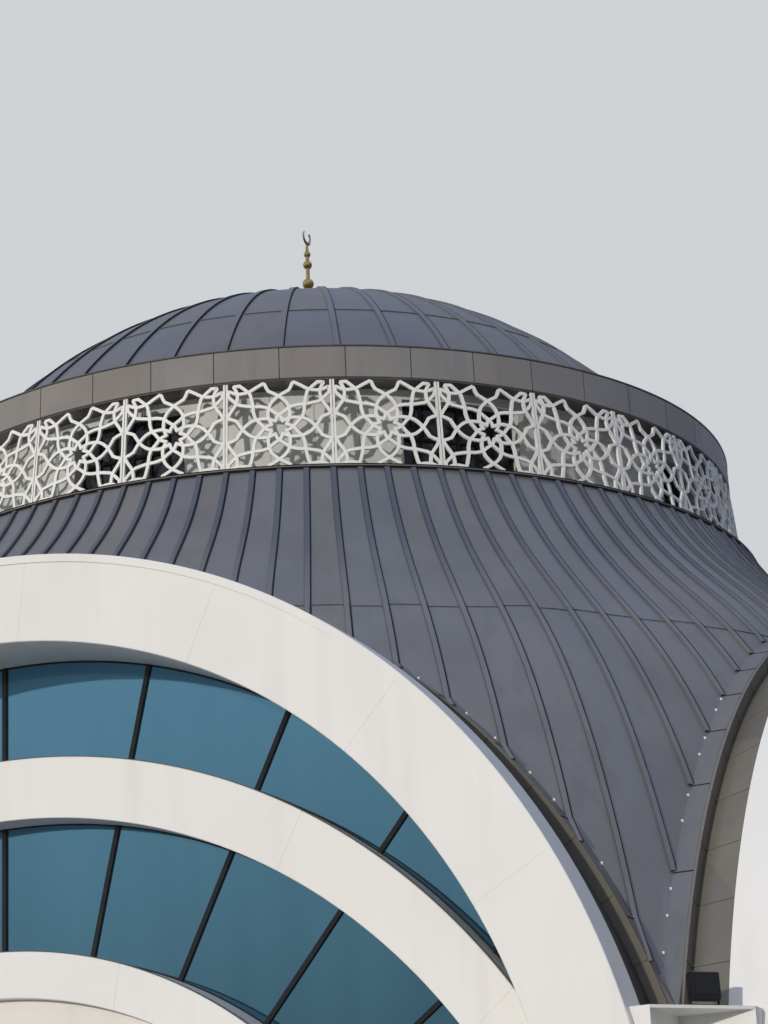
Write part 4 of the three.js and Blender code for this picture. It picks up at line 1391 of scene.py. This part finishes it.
class HALL_OT_finial(HallOperator, bpy.types.Operator):
    """Finial on the dome: stem with round beads and an upright crescent"""
    bl_idname = "hall.finial"
    bl_label = "Finial"

    def build(self):
        """Turned stem: each bead is a circle between its necks, the lowest drawn up like an
        onion. Crescent: the space between two circles, thin at its tips."""
        stem, top, shoulder = 0.045, 29.56, 2.2
        outline = [(0, DOME_APEX), (0.17, DOME_APEX), (0.17, DOME_APEX + 0.04),
                   (0.12, DOME_APEX + 0.08), (0.07, DOME_APEX + 0.13), (stem, DOME_APEX + 0.18)]
        onion = [(0.094, 28.14), (0.073, 28.19), (0.056, 28.26), (stem, 28.335)]
        for height, radius, neck_line in ((28.02, 0.15, onion), (28.56, 0.135, []),
                                          (29.05, 0.108, []), (29.32, 0.08, [])):
            neck = math.asin(stem / radius)
            angle = np.linspace(neck, shoulder if neck_line else math.pi - neck, 15)
            outline += zip(radius * np.sin(angle), height - radius * np.cos(angle))
            outline += neck_line
        outline += [(0.0275, top), (0, top)]
        piece("finial_turning", [lathed(outline, 32)], "gilded_brass",
              stands_for=("finial_stem",), sharp=50.0)
        middle, opening = top + 0.1903, math.radians(140)
        outer, inner = (self.circle(middle, *circle) for circle in (
            (0.19, 0.0, opening), (0.14, 0.042, opening * 0.93)))
        core = (outer + inner) / 2
        thin, thick = 0.008, 0.025
        moon = swept_lines([columns(edge[:, 0], depth, edge[:, 1]) for edge, depth in (
            (outer, thin), (core, thick), (inner, thin), (inner, -thin), (core, -thick),
            (outer, -thin))])
        piece("finial_moon", [moved(moon, QUARTER)], "gilded_brass",
              stands_for=("finial_crescent",))

    def circle(self, middle, radius, up, opening):
        """Points round a circle set up above the middle, open at its top."""
        angle = np.linspace(math.pi - opening, math.pi + opening, 41)
        return columns(radius * np.sin(angle), middle + up + radius * np.cos(angle))


class HALL_OT_lamps(HallOperator, bpy.types.Operator):
    """Floodlights on the corners: ribbed housing, glass, yoke and foot"""
    bl_idname = "hall.lamps"
    bl_label = "Corner floodlights"

    def crosswise(self, outline, start, end):
        """Outline of (forward, up) points in the lamp's side view, drawn from one place
        across its width to another, and set on the front right corner."""
        forward, up = np.array(outline).T
        part = swept(np.stack([columns(x, -forward, up + LAMP_FOOT) for x in (start, end)]))
        return moved(part, QUARTER / 2, LAMP_PLACE)

    def build(self):
        """Housing with thin cooling ribs behind, a bent bar that carries it, and a pane."""
        half, ribs, rib = 0.235, 9, 0.012
        shell = [(-0.05, 0.10), (0.13, 0.08), (0.185, 0.14), (0.155, 0.52), (0.13, 0.538),
                 (-0.03, 0.535), (-0.055, 0.50)]
        parts = [self.crosswise(shell, -half, half)]
        for k in range(ribs):
            x = -half + 0.03 + k * (2 * half - 0.07) / (ribs - 1)
            parts.append(self.crosswise([(-0.055, 0.13), (-0.05, 0.50), (-0.088, 0.47),
                                         (-0.088, 0.15)], x, x + rib))
        for side in (-1, 1):
            arm = sorted((side * (half + 0.003), side * (half + 0.015)))
            parts.append(self.crosswise([(0.02, 0.0), (0.08, 0.0), (0.08, 0.34), (0.02, 0.34)],
                                        *arm))
        parts.append(self.crosswise([(-0.085, 0.0), (0.118, 0.0), (0.118, 0.03),
                                     (-0.085, 0.03)], -half - 0.015, half + 0.015))
        pane = self.crosswise([(0.186, 0.17), (0.192, 0.17), (0.166, 0.50), (0.160, 0.50)],
                              -half + 0.04, half - 0.04)
        quarter_turns(CORNERS, "floodlight", parts, "black_metal", node="lamp")
        quarter_turns(CORNERS, "floodlight_glass", [pane], "lamp_glass", "black_metal")


class HALL_OT_floor(HallOperator, bpy.types.Operator):
    """Stone finish on the hall's floor"""
    bl_idname = "hall.floor"
    bl_label = "Floor finish"

    def build(self):
        dress_node("floor_slab", "floor_stone")


class HALL_OT_stage(HallOperator, bpy.types.Operator):
    """Pale floor, key light, soft fill and camera"""
    bl_idname = "hall.stage"
    bl_label = "Stage"

    def build(self):
        self.ground()
        self.lights()
        self.camera()

    def ground(self):
        """Wide disc, paler to the camera than to the light it throws back."""
        reach, top, foot = 400, -0.002, -0.4  # the disc lies just under the ground level
        points, tables = lathed([(0, top), (reach, top), (reach, foot), (0, foot)], 96)
        mesh = bpy.data.meshes.new("studio_floor")
        mesh.from_pydata(points.tolist(), [], [face.tolist() for table in tables
                                               for face in table])
        pale, tree, shader = new_material("Studio floor", {"Roughness": 0.9})
        cloud = noise(tree, object_place(tree), 0.05, 2.0)
        seen = node(tree, "LightPath").outputs["Is Camera Ray"]
        shown = blend(tree, cloud, (0.60, 0.60, 0.60, 1), (0.64, 0.635, 0.625, 1))
        tree.links.new(blend(tree, seen, (0.31, 0.305, 0.295, 1), shown),
                       shader.inputs["Base Color"])
        mesh.materials.append(pale)
        made = bpy.data.objects.new("studio_floor", mesh)
        bpy.context.scene.collection.objects.link(made)

    def lights(self):
        """Sun by direction; the fill is a soft dome, cooler overhead and away from the
        sun. The camera itself sees a plain pale backdrop."""
        stage = sizes("stage")
        sun = bpy.data.lights.new("key_light", "SUN")
        sun.energy, sun.angle = stage.sun, math.radians(1.5)
        sun.color = (1.0, 0.95, 0.87)
        key = bpy.data.objects.new("key_light", sun)
        key.rotation_euler = (QUARTER - stage.sun_height, 0, stage.sun_side)
        key.visible_glossy = False
        bpy.context.scene.collection.objects.link(key)
        world = bpy.data.worlds.new("Studio")
        bpy.context.scene.world = world
        world.use_nodes = True
        tree = world.node_tree
        way = node(tree, "SeparateXYZ", {0: node(tree, "TexCoord").outputs["Generated"]})
        side = maths(tree, "ADD", maths(tree, "MULTIPLY", way.outputs[0], -0.55),
                     maths(tree, "MULTIPLY", way.outputs[1], -0.75))
        lit = ramp(tree, side, -0.55, 0.8)
        level = blend(tree, lit, (0.055, 0.065, 0.10, 1), (0.75, 0.72, 0.66, 1))
        sky = blend(tree, ramp(tree, way.outputs[2], 0.05, 0.85), level,
                    (0.55, 0.66, 0.92, 1))
        seen = node(tree, "LightPath").outputs["Is Camera Ray"]
        backdrop = (0.80, 0.83, 0.86, 1)
        background = tree.nodes["Background"]
        tree.links.new(blend(tree, seen, sky, backdrop), background.inputs["Color"])
        background.inputs["Strength"].default_value = stage.sky

    def camera(self):
        """The photo's viewpoint: its place, and its turns in degrees."""
        data = bpy.data.cameras.new("camera")
        data.lens = sizes("stage").lens
        data.clip_end = 2000
        made = bpy.data.objects.new("camera", data)
        made.location = (28.5389, -55.2827, 1.5893)
        made.rotation_euler = tuple(math.radians(a) for a in (108.8257, 2.204, 26.602))
        scene = bpy.context.scene
        scene.collection.objects.link(made)
        scene.camera = made
        scene.view_settings.view_transform = "Standard"


GROUPS = (("arch", HallArchSizes), ("band", HallBandSizes), ("glass", HallGlassSizes),
          ("roof", HallRoofSizes), ("verge", HallVergeSizes), ("drum", HallDrumSizes),
          ("screen", HallScreenSizes), ("dome", HallDomeSizes),
          ("finishes", HallFinishes), ("stage", HallStageSettings))
OPERATORS = (HALL_OT_great_arches, HALL_OT_verges, HALL_OT_inner_arches, HALL_OT_glazing,
             HALL_OT_walls, HALL_OT_roof, HALL_OT_drum, HALL_OT_screen, HALL_OT_dome,
             HALL_OT_finial, HALL_OT_lamps, HALL_OT_floor, HALL_OT_stage)


class HALL_PT_panel(bpy.types.Panel):
    """Sizes, finishes and steps of the prayer hall"""
    bl_idname = "HALL_PT_panel"
    bl_label = "Domed Prayer Hall"
    bl_space_type = "VIEW_3D"
    bl_region_type = "UI"
    bl_category = "Hall"

    def draw(self, context):
        layout = self.layout
        for operator in OPERATORS:
            layout.operator(operator.bl_idname, text=operator.bl_label)
        for name, kind in GROUPS:
            box = layout.box()
            box.label(text=name.capitalize())
            for key in kind.__annotations__:
                box.prop(sizes(name), key)


def register():
    for name, kind in GROUPS:
        bpy.utils.register_class(kind)
        setattr(bpy.types.Scene, "hall_" + name, bpy.props.PointerProperty(type=kind))
    for kind in OPERATORS + (HALL_PT_panel,):
        bpy.utils.register_class(kind)


def unregister():
    for kind in (HALL_PT_panel,) + OPERATORS[::-1]:
        bpy.utils.unregister_class(kind)
    for name, kind in GROUPS[::-1]:
        delattr(bpy.types.Scene, "hall_" + name)
        bpy.utils.unregister_class(kind)


def main():
    register()
    bpy.ops.hall.great_arches()
    bpy.ops.hall.verges()
    bpy.ops.hall.inner_arches()
    bpy.ops.hall.glazing()
    bpy.ops.hall.walls()
    bpy.ops.hall.roof()
    bpy.ops.hall.drum()
    bpy.ops.hall.screen()
    bpy.ops.hall.dome()
    bpy.ops.hall.finial()
    bpy.ops.hall.lamps()
    bpy.ops.hall.floor()
    bpy.ops.hall.stage()


if __name__ == "__main__":
    main()
